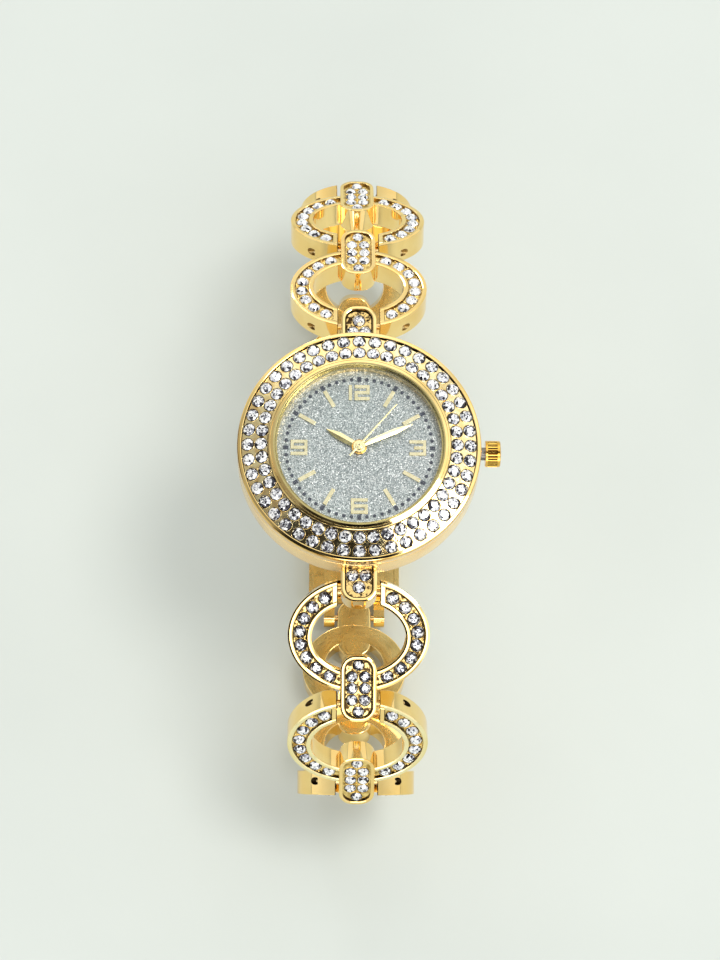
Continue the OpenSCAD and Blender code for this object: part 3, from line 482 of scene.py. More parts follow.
# Heights are from the dial's plane. The channel between the bezel's rims slopes outwards.
CASE_R, OUTER_RIM, GLASS_RING_R = 15.0, 0.5, 10.94
BEZEL_H, DROP, STONE_D = 1.8, 0.7, 1.68
CH_IN, CH_OUT = GLASS_RING_R + 0.31, CASE_R - OUTER_RIM
CH_Z1 = BEZEL_H - 0.35
CH_Z2 = CH_Z1 - DROP
TILT = math.atan(DROP / (CH_OUT - CH_IN))
SLOPE = math.tan(TILT)
RIM_TOP = CH_Z2 + 0.32
SEAT = BEZEL_H - 0.8
LIP_R = GLASS_RING_R - 0.82
STEP_R, STEP_Z = CASE_R - 0.8, -0.55      # the bezel's step round the case's edge
LINE_DROP = 0.6                           # from the outer rim's top to the foot of the band of deeper gold painted as shade
CASE_DEPTH, CASE_BORE = 4.85, 11.4
LUG_Y, LUG_DROP, TAB_T, TAB_W = 17.5, 3.4, 3.2, 4.4
TAB_TOP = -LUG_DROP + TAB_T - 1
TAB_START, TAB_END = CASE_R - 3.4, LUG_Y + 1.9
TAB_CORNER, TAB_RIM, DEPTH = 1.8, 0.48, 0.33
TAB_STONES, TAB_STONE_D = ((0, LUG_Y), (-0.77, LUG_Y - 1.52), (0.77, LUG_Y - 1.52)), 1.62
ROW_IN, ROW_PITCH = 0.8, 1.7              # the bezel's rows of stones, from the channel's walls
ROUND_STEPS = 240


def bezel_kind(a, b):
    """Material of the bezel's face between two points of its profile."""
    r, z = (a[0] + b[0]) / 2, (a[1] + b[1]) / 2
    floor_z = CH_Z2 + (CH_OUT - r) * SLOPE
    if CH_OUT - 0.11 < r < CH_OUT + 0.01 and 0 < z < CH_Z2 + 0.2:
        return PAINTED_SHADE        # painted shadow where the channel meets the outer rim
    if CH_IN - 0.01 < r < CH_IN + 0.07 and CH_Z1 - 0.05 < z < BEZEL_H - 0.12:
        return PAINTED_SHADE        # painted shadow where it meets the inner rim
    if CH_IN < r < CH_OUT and abs(z - floor_z) < 0.02:
        return FLOOR
    # Under the outer rim: a band of deeper gold painted as shade and reflection, then the satin wall.
    if r > CASE_R - 0.7 and z < RIM_TOP - 0.11:
        return LINE if z > RIM_TOP - LINE_DROP + 0.01 else SECOND
    return PLAIN


def bezel_piece():
    """Two rims, rounded by listed points, and the sloping channel between them."""
    foot = [(LIP_R, 0.02), (STEP_R, 0.02), (STEP_R, STEP_Z)]
    wall = [(CASE_R, STEP_Z), (CASE_R, RIM_TOP - LINE_DROP), (CASE_R, RIM_TOP - 0.2)]
    outer_rim = [(CASE_R - 0.03, RIM_TOP - 0.105), (CASE_R - 0.12, RIM_TOP - 0.062),
                 (CASE_R - 0.4, RIM_TOP), (CH_OUT + 0.05, RIM_TOP),
                 (CH_OUT + 0.01, RIM_TOP - 0.015), (CH_OUT, RIM_TOP - 0.06)]
    channel = [(CH_OUT, CH_Z2), (CH_OUT - 0.1, CH_Z2 + 0.1 * SLOPE),
               (CH_IN + 0.06, CH_Z1 - 0.06 * SLOPE), (CH_IN, CH_Z1)]
    inner_rim = [(CH_IN, BEZEL_H - 0.12), (CH_IN - 0.02, BEZEL_H - 0.085),
                 (CH_IN - 0.1, BEZEL_H - 0.045), (GLASS_RING_R + 0.04, BEZEL_H - 0.01)]
    bore = [(GLASS_RING_R + 0.04, SEAT), (LIP_R, SEAT)]
    points = foot + wall + outer_rim + channel + inner_rim + bore
    radii = [0.14 if p == wall[0] else 0 for p in points]
    profile = fillet(points, radii, 5)
    kinds = [bezel_kind(a, b) for a, b in zip(profile, profile[1:] + profile[:1])]
    v, f, ix = revolve(profile, ROUND_STEPS, kinds)
    piece("bezel_casting", v, f, [GOLD, GOLD_FLOOR, SHADOW, GOLD_SIDE, AMBER], "head",
          ["bezel"], ix, angle=10)


def glass_ring_piece():
    """The ring that holds the glass: a bright outer wall, a sloping top and a step inside."""
    top, bore, lip, step = BEZEL_H + 0.1, 10.3, 10.1, SEAT + 0.33
    points = [(lip, SEAT), (GLASS_RING_R, SEAT), (GLASS_RING_R, BEZEL_H),
              (GLASS_RING_R - 0.02, BEZEL_H + 0.03), (GLASS_RING_R - 0.34, top), (bore, top),
              (bore, step), (lip, step)]
    profile = fillet(points, [0, 0, 0, 0, 0, 0.14, 0, 0], 9)
    v, f, ix = revolve(profile, ROUND_STEPS, [1 if 0 < i < 4 else 0 for i in range(len(profile))])
    piece("glass_ring", v, f, [GOLD_GLASS_RING, GOLD], "head", ["crystal_ring"], ix,
          angle=10.5)


FACET = math.radians(12.5)
FACET_OUT, FACET_IN = 0.17, 0.11      # widths of a bar's facets at its rim's two edges


def shoulder(width, top):
    """Rim's edge from its wall up to its top: steep, then a flat facet of 12.5 degrees."""
    low = top - width * math.tan(FACET)
    return [(0, low - 0.06), (0.02, low), (0.02 + width, top)]


def bar_contours(w, y0, y1, corner, bottom, top, rim=0.0, depth=0.0, strip=0.17):
    """Contours and materials of a bar, from its underside to its face or its channel's floor."""
    if depth:
        floor = top - depth
        line = fillet([(1.1, bottom), (0, bottom)] + shoulder(FACET_OUT, top) +
                      [(rim - s, z) for s, z in reversed(shoulder(FACET_IN, top))] +
                      [(rim, floor), (rim + 0.18, floor), (1.2, floor)],
                      [0, 0.2] + [0] * 9, 8, closed=False)
    else:
        line = fillet([(0.9, bottom), (0, bottom), (0, top - 0.14), (0.3 * w, top)],
                      [0, 0.2, 0.3, 0], 8, closed=False)
    contours = [rounded_bar(w, y0, y1, corner, s, z) for s, z in line]
    kinds = []
    for (s0, z0), (s1, z1) in zip(line, line[1:]):
        s, z = (s0 + s1) / 2, (z0 + z1) / 2
        # A strip of painted shadow along the rim's inner wall and the floor beside it.
        if depth and z < top - 0.1 and rim - 0.02 < s < rim + strip:
            kinds.append(PAINTED_SHADE)
        elif depth and floor - 0.01 < z < top - 0.1 and s > rim + strip:
            kinds.append(FLOOR)
        else:
            kinds.append(PLAIN)
    kinds.append(FLOOR if depth else PLAIN)
    return contours, kinds


def case_piece():
    """The case's ring and the two tabs; gives the places of the tabs' stones."""
    points = [(CASE_BORE, -CASE_DEPTH), (CASE_BORE, 0), (CASE_R - 0.85, 0), (CASE_R - 0.85, -0.6),
              (CASE_R, -0.6), (CASE_R, -CASE_DEPTH)]
    verts, faces, index = revolve(fillet(points, [0, 0, 0, 0, 0.12, 1.1], 8), 200)
    stones = []
    # The stones of the tab at 6 o'clock get more painted shade.
    for turn, deep in ((0, 0.7), (180, 1.3)):
        place = at_dial(math.radians(turn))
        contours, kinds = bar_contours(TAB_W, TAB_START, TAB_END, TAB_CORNER, TAB_TOP - TAB_T,
                                       TAB_TOP, TAB_RIM, DEPTH)
        kinds = [SECOND if kind == PLAIN else kind for kind in kinds]
        add_mesh(place, stack(contours, kinds), verts, faces, index)
        stones += [(place @ Matrix.Translation((x, y, TAB_TOP - DEPTH)), TAB_STONE_D, deep)
                   for x, y in TAB_STONES]
    # The tabs' channel floors take the gold with painted shade between the stones.
    piece("case_shell", verts, faces, [GOLD_SIDE, SHADED_GOLD_GAP, SHADOW, GOLD], "head",
          ["case_body"], index, angle=12)
    return stones


def bezel_stones():
    """Places of the bezel's two rows; the stones get more painted shade towards 6 o'clock."""
    items = []
    rows = int(2 * math.pi * (CH_IN + ROW_IN) // ROW_PITCH)
    for r in (CH_IN + ROW_IN, CH_OUT - ROW_IN):
        seat = Matrix.Translation((r, 0, CH_Z2 + (CH_OUT - r) * SLOPE))
        for i in range(rows):
            a = 2 * math.pi * i / rows
            up = math.sin(a)
            items.append((at_dial(a) @ seat @ Matrix.Rotation(TILT, 4, "Y"), STONE_D,
                          max(0.7 - 0.3 * up, 0.7 - 0.65 * up)))
    return items


def soften(name, width):
    """Small rounded edges on a CAD node, by modifiers alone."""
    obj = NODES[name]
    weld = obj.modifiers.new("weld", "WELD")
    weld.merge_threshold = 1e-6
    bevel = obj.modifiers.new("bevel", "BEVEL")
    bevel.width = width * MM
    bevel.segments = 2
    bevel.limit_method = "ANGLE"
    bevel.angle_limit = math.radians(40)
    bevel.harden_normals = True


bezel_piece()
glass_ring_piece()
tab_stones = case_piece()
stone_piece("head_stone_set", bezel_stones() + tab_stones, [], "head", "head_stones")
soften("hour_markers", 0.05)


# ---------------------------------------------------------------- crown

def crown_piece():
    """The crown with its flutes, along X."""
    x0, z0 = CASE_R + 0.6, DIAL.z - 1.9
    length, r_out, flutes, step, cut = 1.85, 1.62, 28, 16, 0.15
    n = flutes * step
    line = [(0.0, 0.84), (0.0, r_out - 0.08), (0.05, r_out), (0.27, r_out), (0.30, r_out),
            (length - 0.40, r_out), (length - 0.37, r_out), (length - 0.10, r_out),
            (length, r_out - 0.12), (length, 0.9)]
    contours = []
    for x, r in line:
        fluted = 0.29 < x < length - 0.38 and r > r_out - 0.05
        ring = []
        for k in range(n):
            a = 2 * math.pi * (k + 0.5) / n
            valley = min(max((0.82 - abs(math.cos(flutes * a / 2))) / 0.2, 0), 1)
            depth = cut * valley if fluted else 0.0
            ring.append((x0 + x, (r - depth) * math.cos(a), z0 + (r - depth) * math.sin(a)))
        contours.append(ring)
    v, f, index = stack(contours)
    # The flutes' valleys take the near-black gold: painted shade.
    for i in range(len(f)):
        band, k = divmod(i, n)
        if band in (3, 4, 5) and abs(math.cos(flutes * math.pi * (k + 1) / n)) < 0.75:
            index[i] = 1
    piece("crown_knob", v, f, [AMBER, GROOVE_SHADE], "crown_and_stem", ["crown"], index,
          angle=20)


crown_piece()


# ---------------------------------------------------------------- hands and minute track

# A hand's materials: its faces, the second hand's cap, the hour hand's hub, a facet darkened with painted shade.
FACE, CAP, HUB, SHADED = range(4)


def hand(name, body, node_name, angle, z, t, sections, hub, edge=0.3, dark=0):
    """Strip with a raised centre line, given as (distance, half width), on its round hub.

    The hub is discs of (radius, low, high, material). A dark of 2 or 3 paints shade on one upper facet.
    """
    verts, faces, index = [], [], []
    turn = at_dial(-math.radians(angle))
    widest = max(w for _, w in sections)
    contours = []
    for y, w in sections:
        low = z + edge * t
        contours.append([(-w, y, z), (w, y, z), (w, y, low),
                         (0, y, low + (1 - edge) * t * w / widest), (-w, y, low)])
    v, f, ix = stack(contours)
    if dark:
        sides = 5 * (len(sections) - 1)
        ix = [SHADED if i < sides and i % 5 == dark else FACE for i in range(len(f))]
    add_mesh(turn, (v, f, ix), verts, faces, index)
    for r, z0, z1, kind in hub:
        line = fillet([(0.02, z0), (r, z0), (r, z1), (0.02, z1)], [0, 0, 0.045, 0], 3, False)
        rings = [[(q * math.cos(a), q * math.sin(a), w)
                  for a in (2 * math.pi * k / 40 for k in range(40))] for q, w in line]
        add_mesh(turn, stack(rings, [kind] * len(rings)), verts, faces, index)
    piece(name, verts, faces, [GOLD_PALE, SHADOW, AMBER, GOLD_SHADED_FACET], body, [node_name],
          index, angle=12)


def track_piece():
    """Printed minute track: sixty dots, the hours as small blocks."""
    dot_r, half_w, half_l, corner = 0.225, 0.24, 0.32, 0.06
    lo, hi = lo_hi("minute_track")
    r = hi.y - 0.21
    verts, faces, index = [], [], []
    for i in range(60):
        if i % 5:
            pts = [(dot_r * math.cos(a), r + dot_r * math.sin(a))
                   for a in (math.pi * k / 8 for k in range(16))]
        else:
            pts = fillet([(-half_w, r - half_l), (half_w, r - half_l), (half_w, r + half_l),
                          (-half_w, r + half_l)], [corner] * 4, 3)
        part = stack([[(x, y, z) for x, y in pts] for z in (lo.z, hi.z)])
        add_mesh(at_dial(math.pi * i / 30), part, verts, faces, index)
    piece("minute_print", verts, faces, [PRINT], "head", ["minute_track"], index)


def angle_and_length(name):
    """A hand's clockwise angle from 12 o'clock and its length, from its node's far corner."""
    far = max((v.co for v in NODES[name].data.vertices), key=lambda c: c.x ** 2 + c.y ** 2)
    return math.degrees(math.atan2(far.x, far.y)), math.hypot(far.x, far.y) / MM


track_piece()
for name, body, base, mid_w, share, hub_r, hub_kind, dark in (
        ("hour_hand", "hour_axle", 0.40, 0.50, 0.62, 0.95, HUB, 3),
        ("minute_hand", "centre_axle", 0.27, 0.37, 0.68, 0.75, FACE, 2)):
    angle, length = angle_and_length(name)
    lo, hi = lo_hi(name)
    t = hi.z - lo.z
    hand("dressed_" + name, body, name, angle, lo.z, t,
         [(0.0, base), (length * share, mid_w), (length * (share + 1) / 2, mid_w * 0.62),
          (length, 0.015)],
         [(hub_r, lo.z, lo.z + t * 0.9, hub_kind)], dark=dark)
angle, length = angle_and_length("second_hand")
lo, hi = lo_hi("second_hand")
hand("dressed_second_hand", "second_axle", "second_hand", angle, lo.z, 0.1,
     [(-1.8, 0.12), (0.0, 0.12), (length * 0.5, 0.10), (length, 0.06)],
     [(0.5, lo.z, lo.z + 0.1, FACE), (0.35, lo.z, hi.z, FACE),
      (0.12, hi.z - 0.02, hi.z + 0.01, CAP)],
     0.85)


# ---------------------------------------------------------------- links

WIDTHS = [17.3, 17.3, 14.8, 13.6, 13.6]
LENGTHS = [13.9, 13.9, 13.0, 12.4, 12.4]
FACES = [1.9, 1.9, 1.75, 1.75, 1.75]
PIN_SET, TURN_R, TURN_GAP, GAP, BAR_W = 1.85, 1.55, 0.3, 5.2, 4.4
SIDE_W, END_W, SHIFT, BACK, RIM = 2.9, 2.65, 0.3, 1.2, 0.58
BAR_IN, BAR_PAST, BAR_RIM, PROUD = 2.1, 2.1, 0.48, 0.12
BAR_END = BAR_W / 2 - 0.35
LINK_STONE, BAR_STONE, GRAIN_R = 1.66, 1.5, 0.17
DEEP = {"6": (1.8, 0.45, 0.3), "12": (0.1, 0.0, 0.0)}    # painted shade on each ring's stones, heavier at 6 o'clock
RING_FACET_OUT, RING_FACET_IN = 0.21, 0.12
CHAMFER, STEP, CHANNEL_END = 0.1, 0.002, 0.11    # of a ring's ends and its channel's ends
SWEEP_STEPS = 120
STONES_A_SIDE, FIRST_STONE, STONE_ARC = 8, -55, 116    # the last two in degrees
GRAIN_OFF = 0.62
PIN_STEPS = 32
HOLE_R, HOLE_LENGTH, HOLE_MIDDLE = 0.48, 4.2, 1.9      # the middle is beyond the pin's end
NEAR = 1e-6


def recess(k):
    """How far the oval's end lies behind its tip where the gap of link k is cut."""
    return LENGTHS[k] / 2 * (1 - math.sqrt(1 - (GAP / WIDTHS[k]) ** 2))


def pitch(k):
    return LENGTHS[k] - PIN_SET - recess(k) + TURN_R + TURN_GAP


def bar_ends(k):
    return LENGTHS[k] - PIN_SET - END_W + SHIFT - BAR_IN, pitch(k) + BAR_PAST


def pin_half(k):
    return WIDTHS[k] / 2 * math.sqrt(1 - (1 - 2 * PIN_SET / LENGTHS[k]) ** 2) - 0.15


def link_place(side, k):
    """Frame of link k in millimetres: its front pin, +Y along the bracelet, +Z outwards."""
    s = 1 if side == "12" else -1
    pin = joint_at(f"ring_{side}_{k + 1}_hinge")
    if k < 4:
        nxt = joint_at(f"ring_{side}_{k + 2}_hinge")
    elif side == "6":
        nxt = joint_at("cover_hinge")
    else:
        lo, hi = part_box("spring_bar")
        nxt = (lo + hi) / 2 / MM
    d = nxt - pin
    d.x = 0
    d.normalize()
    n = Vector((0, -s * d.z, s * d.y))
    return Matrix.Translation(pin) @ Matrix(((s, d.x, n.x, 0), (0, d.y, n.y, 0),
                                             (0, d.z, n.z, 0), (0, 0, 0, 1)))


def ring_profile(top, floor, stones):
    """Section of the ring's band: (distance from the outer wall, height), its corners rounded."""
    wall = [(0, h) for h in (-BACK, -0.9, -0.6, -0.3, 0, 0.6)]
    inner_wall = [(SIDE_W, h) for _, h in reversed(wall)]
    if stones:
        rim = shoulder(RING_FACET_OUT, top) + \
            [(RIM - s, h) for s, h in reversed(shoulder(RING_FACET_IN, top))] + \
            [(RIM, floor), (RIM + 0.12, floor)]
        pts = wall + rim + [(SIDE_W - s, h) for s, h in reversed(rim)] + inner_wall
        radii = [0.12] + [0] * (len(pts) - 2) + [0.12]
    else:
        pts = wall + [(0, top - 0.35), (0.3 * SIDE_W, top), (0.7 * SIDE_W, top),
                      (SIDE_W, top - 0.35)] + inner_wall
        radii = [0.12, 0, 0, 0, 0, 0, 0.3, 0.9, 0.9, 0.3, 0, 0, 0, 0, 0, 0.12]
    return fillet(pts, radii, 8)


def ring_kinds(profile, top, k, stones):
    """Material of each strip along the ring's band."""
    # The strip of painted shadow beside the channel's walls is wide on the first link, a sliver on the others.
    strip = 0.11 if k == 0 else 0.01
    kinds = []
    for (s0, h0), (s1, h1) in zip(profile, profile[1:] + profile[:1]):
        s, h = (s0 + s1) / 2, (h0 + h1) / 2
        edge = min(s, SIDE_W - s)
        if stones and 0.7 < h < top - 0.1 and RIM - 0.02 < edge < RIM + strip:
            kinds.append(PAINTED_SHADE)
        elif stones and h > 0.7 and edge > RIM + strip - 0.01:
            kinds.append(FLOOR)
        elif stones and k > 0 and h > top - 0.03:
            kinds.append(SECOND)
        else:
            kinds.append(PLAIN)
    return kinds


def ring_part(k, stones):
    """The open oval ring, swept from one side of its gap round to the other."""
    w, l, top = WIDTHS[k], LENGTHS[k], FACES[k]
    mid, floor, gap_x = l / 2 - PIN_SET, top - DEPTH, GAP / 2
    full_x = gap_x + RIM + CHANNEL_END
    profile = ring_profile(top, floor, stones)
    n = len(profile)

    def station(x=None, u=0.0, inset=0.0, flat=False):
        """The band's section at x, or at u of the way round. Flat fills the channel."""
        out = []
        for s, h in profile:
            if inset:
                s = min(max(s, inset), SIDE_W - inset)
                h = min(max(h, -BACK + inset), top - inset)
            if flat and stones and floor - NEAR <= h < top and \
                    RIM - NEAR <= s <= SIDE_W - RIM + NEAR:
                h = top - inset
            if s < SIDE_W / 2:
                a, b, yc = w / 2 - s, l / 2 - s, mid
            else:
                e = SIDE_W - s
                a, b, yc = w / 2 - SIDE_W + e, l / 2 - END_W + e, mid + SHIFT
            if x is not None:
                t = -math.acos(min(abs(x) / a, 1.0))
                if x < 0:
                    t = math.pi - t
            else:
                t0 = -math.acos(full_x / a)
                t = t0 + u * (math.pi - 2 * t0)
            y = yc + b * math.sin(t)
            if y > mid and abs(a * math.cos(t)) < BAR_W / 2 - 0.15:
                h = min(h, floor - 0.05)       # room for the bar that crosses the ring
            if y < 0 and h < 0:                # the back is rounded about the pin
                limit = math.sqrt(max(TURN_R ** 2 - y * y, 0.0004))
                h = h * min(1.0, limit / BACK)
            out.append((a * math.cos(t), y, h))
        return out

    marks = [(gap_x, CHAMFER, True), (gap_x + CHAMFER, 0.0, True)]
    if stones:
        marks += [(gap_x + RIM, 0.0, True), (gap_x + RIM + STEP, 0.0, False),
                  (full_x, 0.0, False)]
    sections = [station(x, inset=inset, flat=flat) for x, inset, flat in marks]
    sections += [station(u=i / SWEEP_STEPS) for i in range(1, SWEEP_STEPS)]
    sections += [station(-x, inset=inset, flat=flat) for x, inset, flat in reversed(marks)]
    kinds = ring_kinds(profile, top, k, stones)
    verts = [p for section in sections for p in section]
    faces, index = [], []
    for row in range(len(sections) - 1):
        edge = min(row, len(sections) - 2 - row)
        for i in range(n):
            j = (i + 1) % n
            faces.append((row * n + i, row * n + j, (row + 1) * n + j, (row + 1) * n + i))
            # The ends' chamfers and the channel's floor at its ends take the painted shadow.
            if stones and edge < 2:
                index.append(PAINTED_SHADE if edge == 0 else PLAIN)
            elif stones and edge < 4 and kinds[i] == FLOOR:
                index.append(PAINTED_SHADE)
            else:
                index.append(kinds[i])
    for base in (0, (len(sections) - 1) * n):      # each end is closed by one face
        faces.append(tuple(base + i for i in range(n)))
        index.append(PLAIN)
    return verts, faces, index


def ring_stone_places(k):
    """Places of a ring's stones, then its bar's, and of the grains of metal between them."""
    w, l = WIDTHS[k], LENGTHS[k]
    hx = (w / 2 - RIM + w / 2 - SIDE_W + RIM) / 2
    hy = (l / 2 - RIM + l / 2 - END_W + RIM) / 2
    yc, z = l / 2 - PIN_SET + SHIFT / 2, FACES[k] - DEPTH
    places, beads = [], []

    def on_arc(side, i, off=0.0):
        t = math.radians(FIRST_STONE + STONE_ARC * i / (STONES_A_SIDE - 1))
        return side * (hx + off) * math.cos(t), yc + (hy + off) * math.sin(t), z

    for side in (-1, 1):
        for i in range(STONES_A_SIDE):
            places.append(on_arc(side, i))
            if i < STONES_A_SIDE - 1:
                beads += [on_arc(side, i + 0.5, off) for off in (-GRAIN_OFF, GRAIN_OFF)]
    y0, y1 = bar_ends(k)
    first, last = y0 + BAR_RIM + 0.7, y1 - BAR_RIM - 0.7
    z += PROUD
    for i in range(5):
        y = first + (last - first) * i / 4
        for x in ((0,) if i in (0, 4) else (-0.8, 0.8)):
            places.append((x, y, z))
        if i < 4:
            ym = y + (last - first) / 8
            for x in ((-1.35, 1.35, 0) if 0 < i < 3 else (0,)):
                beads.append((x, ym, z))
    return places, beads


def pin_piece(node_name, body, hinges):
    """Turned pins with tapered, domed ends that stay inside the rings' slanting side walls."""
    end = [(0.0, 0.08), (0.03, 0.14), (0.09, 0.19), (0.56, 0.37), (0.62, 0.39), (0.72, 0.4)]
    verts, faces, index = [], [], []
    for side, k in hinges:
        at = Matrix.Translation(joint_at(f"ring_{side}_{k + 1}_hinge"))
        line = [(x - pin_half(k), r) for x, r in end] + \
            [(pin_half(k) - x, r) for x, r in reversed(end)]
        rings = [[(x, r * math.cos(a), r * math.sin(a))
                  for a in (2 * math.pi * q / PIN_STEPS for q in range(PIN_STEPS))]
                 for x, r in line]
        add_mesh(at, stack(rings), verts, faces, index)
    piece("turned_" + node_name, verts, faces, [PIN], body, [node_name], index)


pin_piece("lug_pins", "head", (("6", 0), ("12", 0)))
for side in ("6", "12"):
    for k in (1, 3):
        pin_piece(f"pins_{side}_{k + 1}", f"ring_{side}_{k + 1}", ((side, k), (side, k + 1)))


def cut_pin_holes(part, k):
    """The ring with the ends of its front pin's hole cut into the side walls."""
    v, f, ix = part
    mesh = bpy.data.meshes.new("ring")
    mesh.from_pydata([tuple(p) for p in v], [], f)
    cutter_mesh = bpy.data.meshes.new("cutter")
    bm = bmesh.new()
    for side in (-1, 1):
        at = Matrix.Translation((side * (pin_half(k) + HOLE_MIDDLE), 0, 0)) @ \
            Matrix.Rotation(math.pi / 2, 4, "Y")
        bmesh.ops.create_cone(bm, cap_ends=True, segments=PIN_STEPS, radius1=HOLE_R,
                              radius2=HOLE_R, depth=HOLE_LENGTH, matrix=at)
    bm.to_mesh(cutter_mesh)
    bm.free()
    for m in (mesh, cutter_mesh):
        for _ in range(SECOND + 1):        # empty slots, so that the cut keeps the numbers
            m.materials.append(None)
    mesh.polygons.foreach_set("material_index", ix)
    # The holes' insides take the painted shadow.
    cutter_mesh.polygons.foreach_set("material_index", [PAINTED_SHADE] * len(cutter_mesh.polygons))
    face_outwards(mesh, 1e-5)
    obj, cutter = add_object("ring", mesh), add_object("cutter", cutter_mesh)
    cut = obj.modifiers.new("cut", "BOOLEAN")
    cut.operation = "DIFFERENCE"
    cut.solver = "EXACT"
    cut.object = cutter
    bpy.context.view_layer.update()
    done = obj.evaluated_get(bpy.context.evaluated_depsgraph_get()).to_mesh()
    bm = bmesh.new()
    bm.from_mesh(done)
    bmesh.ops.remove_doubles(bm, verts=bm.verts, dist=0.004)
    bm.verts.index_update()
    out = ([tuple(p.co) for p in bm.verts], [tuple(p.index for p in q.verts) for q in bm.faces],
           [q.material_index for q in bm.faces])
    bm.free()
    for o in (obj, cutter):
        bpy.data.objects.remove(o)
    return out


def link_piece(side, k):
    """A ring and its bar as one casting, with their stones where the link has them."""
    stones = k < 3
    place = link_place(side, k)
    body = f"ring_{side}_{k + 1}"
    verts, faces, index = [], [], []
    add_mesh(place, cut_pin_holes(ring_part(k, stones), k), verts, faces, index)
    # The first link's bar gets a wide strip of painted shadow, the others a sliver.
    contours, kinds = bar_contours(BAR_W, *bar_ends(k), BAR_END, -BACK + 0.01,
                                   FACES[k] + PROUD, BAR_RIM, DEPTH if stones else 0,
                                   0.17 if k == 0 else 0.01)
    add_mesh(place, stack(contours, kinds), verts, faces, index)
    # Painted shadow: black on the links at 6 o'clock, lighter brown on those at 12.
    wall = SHADOW if side == "6" else LIGHTER_SHADOW
    # Only the first link at 6 o'clock gets the floor with painted shade between its stones.
    floor = SHADED_GOLD_GAP if side == "6" and k == 0 else GOLD_SEAT
    # The rim tops of the links at 6 o'clock are paler gold: a painted highlight.
    rim = GOLD_PALE if side == "6" else GOLD
    piece(f"ring_casting_{side}_{k + 1}", verts, faces, [GOLD, floor, wall, rim], body,
          [f"link_{side}_{k + 1}"], index, angle=12)
    if stones:
        places, beads = ring_stone_places(k)
        on_ring = 2 * STONES_A_SIDE
        stone_piece(f"ring_stones_{side}_{k + 1}",
                    [(place @ Matrix.Translation(p), LINK_STONE if i < on_ring else BAR_STONE,
                      DEEP[side][k]) for i, p in enumerate(places)],
                    [(place @ Matrix.Translation(p), GRAIN_R) for p in beads],
                    body, f"stones_{side}_{k + 1}", wall, GOLD_SEAT)


for side in ("6", "12"):
    for k in range(5):
        link_piece(side, k)


# ---------------------------------------------------------------- floor, light and camera

FLOOR_HALF, FLOOR_DROP = 15, 0.00005      # metres; the drop keeps the floor clear of the clasp
MIDDLE_AT = (0, 0, 0.03)                  # what the lamps point at


def stage_floor(light, dark):
    m, t, co = new_material("floor_paper")
    colour = ramp(t, noise(t, co, 14, 4), [(0.3, dark), (0.7, light)])
    finish_material(m, node(t, "BsdfPrincipled", {"Base Color": colour, "Roughness": 0.85,
                                                  "Specular IOR Level": 0.2}))
    mesh = bpy.data.meshes.new("floor")
    mesh.from_pydata([(x * FLOOR_HALF, y * FLOOR_HALF, 0)
                      for x, y in ((-1, -1), (1, -1), (1, 1), (-1, 1))], [], [(0, 1, 2, 3)])
    mesh.materials.append(m)
    floor_obj = add_object("floor", mesh)
    floor_obj.location.z = -FLOOR_DROP


def area_light(name, at, size, power, colour):
    data = bpy.data.lights.new(name, "AREA")
    data.shape = "DISK"
    data.size = size
    data.energy = power
    data.color = colour
    obj = add_object(name, data)
    obj.location = at
    way = Vector(MIDDLE_AT) - Vector(at)
    obj.rotation_euler = way.to_track_quat("-Z", "Y").to_euler()


stage_floor((0.61, 0.65, 0.625), (0.57, 0.61, 0.585))
area_light("key", (0.23, -0.01, 0.66), 0.24, 1.7, (1.0, 0.97, 0.92))
area_light("fill", (-0.05, -0.50, 0.20), 0.30, 0.6, (1.0, 0.98, 0.95))
area_light("rim", (-0.10, 0.45, 0.25), 0.12, 0.35, (1.0, 0.99, 0.96))

# Soft patches on the dome: direction, the angles in degrees where each is full and where it has
# faded, and its brightness. They stand where the photograph's polished faces mirror them.
DOME = [(0.0, (1.05, 1.05, 1.0)), (0.3, (0.95, 0.96, 0.93)), (0.65, (0.72, 0.74, 0.72)),
        (1.0, (0.66, 0.68, 0.67))]
WARMTH = 0.975
PATCHES = (
    ((0.0, 0.72, 0.69), 8, 24, 1.5),
    ((0.02, 0.336, 0.942), 7, 13, 1.25),
    ((0.40, 0.30, 0.86), 10, 20, 1.3),
    ((0.32, 0.05, 0.95), 5, 11, 1.3),
    ((-0.39, 0.30, 0.87), 8, 15, 0.5),
    ((-0.30, 0.06, 0.95), 6, 11, 0.34),
    ((0.02, -0.46, 0.89), 8, 12, 3.9),
    ((0.45, -0.42, 0.78), 8, 16, 1.9),
    ((0.02, -0.81, 0.59), 8, 16, 1.6),
    ((0.02, -0.06, 0.995), 7.5, 10.5, 0.006),
    ((-0.18, -0.04, 0.98), 4, 8, 0.05),
    ((-0.29, -0.16, 0.94), 7, 11, 0.02),
    ((-0.44, -0.43, 0.79), 11, 15, 0.02),
    ((-0.31, -0.70, 0.65), 9, 13, 0.03),
    ((-0.70, 0.30, 0.65), 8, 16, 0.12),
    ((0.62, -0.62, 0.48), 4, 12, 0.12))


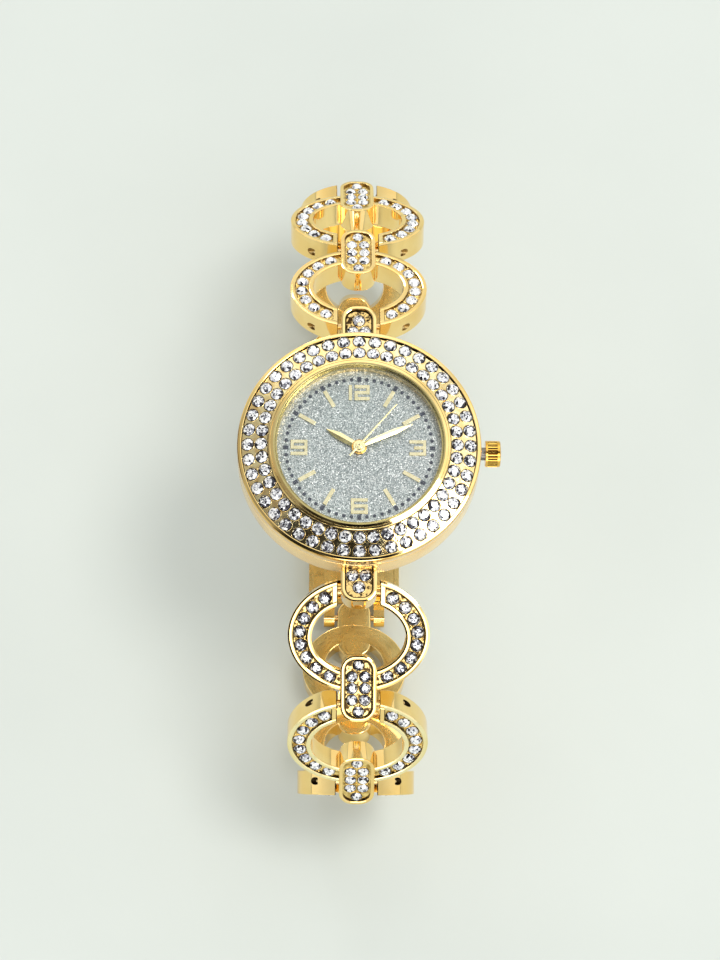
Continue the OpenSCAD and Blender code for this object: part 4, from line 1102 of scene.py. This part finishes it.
def studio_world():
    """Pale dome, darker overhead, with soft bright and dim patches."""
    world = bpy.data.worlds.new("studio")
    world.use_nodes = True
    t = world.node_tree
    t.nodes.clear()
    way = t.nodes.new("ShaderNodeTexCoord").outputs["Generated"]

    def blob(direction, inner, outer):
        d = Vector(direction).normalized()
        dot = node(t, "VectorMath", {0: way, 1: tuple(d)}, operation="DOT_PRODUCT")
        return node(t, "MapRange", {"Value": dot.outputs["Value"],
                                    "From Min": math.cos(math.radians(outer)),
                                    "From Max": math.cos(math.radians(inner))},
                    interpolation_type="SMOOTHSTEP").outputs["Result"]

    value = ramp(t, node(t, "SeparateXYZ", {0: way}).outputs["Z"], DOME)
    for direction, inner, outer, level in PATCHES:
        mix = node(t, "Mix", {"Factor": blob(direction, inner, outer)}, data_type="RGBA")
        t.links.new(value, mix.inputs["A"])
        mix.inputs["B"].default_value = (level, level, level * WARMTH, 1)
        value = mix.outputs["Result"]
    bg = node(t, "Background", {"Color": value, "Strength": 1.0})
    out = t.nodes.new("ShaderNodeOutputWorld")
    t.links.new(bg.outputs["Background"], out.inputs["Surface"])
    bpy.context.scene.world = world


studio_world()

# The camera as fitted to the photograph: focal length in its pixels, millimetres and degrees.
FOCAL, PHOTO_H, SENSOR = 3080.47, 960, 36
DISTANCE, LEAN, TURN, ROLL = 378.79, 19.64, -3.1, -0.04
SIDEWAYS, UPWARDS = 0.1, -3.94


def set_camera():
    lean, turn, roll = (math.radians(a) for a in (LEAN, TURN, ROLL))
    back = Vector((math.sin(turn) * math.sin(lean), -math.cos(turn) * math.sin(lean),
                   math.cos(lean)))
    up0 = (Vector((0, 1, 0)) - back * back.y).normalized()
    right0 = up0.cross(back)
    right = right0 * math.cos(roll) + up0 * math.sin(roll)
    up = -right0 * math.sin(roll) + up0 * math.cos(roll)
    place = (back * DISTANCE + right * SIDEWAYS + up * UPWARDS + DIAL) * MM
    data = bpy.data.cameras.new("camera")
    data.sensor_fit = "AUTO"
    data.sensor_width = SENSOR
    data.lens = FOCAL * SENSOR / PHOTO_H
    data.clip_start = 0.01
    obj = add_object("camera", data)
    obj.matrix_world = Matrix(((right.x, up.x, back.x, place.x), (right.y, up.y, back.y, place.y),
                               (right.z, up.z, back.z, place.z), (0, 0, 0, 1)))
    bpy.context.scene.camera = obj


set_camera()
bpy.context.scene.view_settings.view_transform = "Standard"
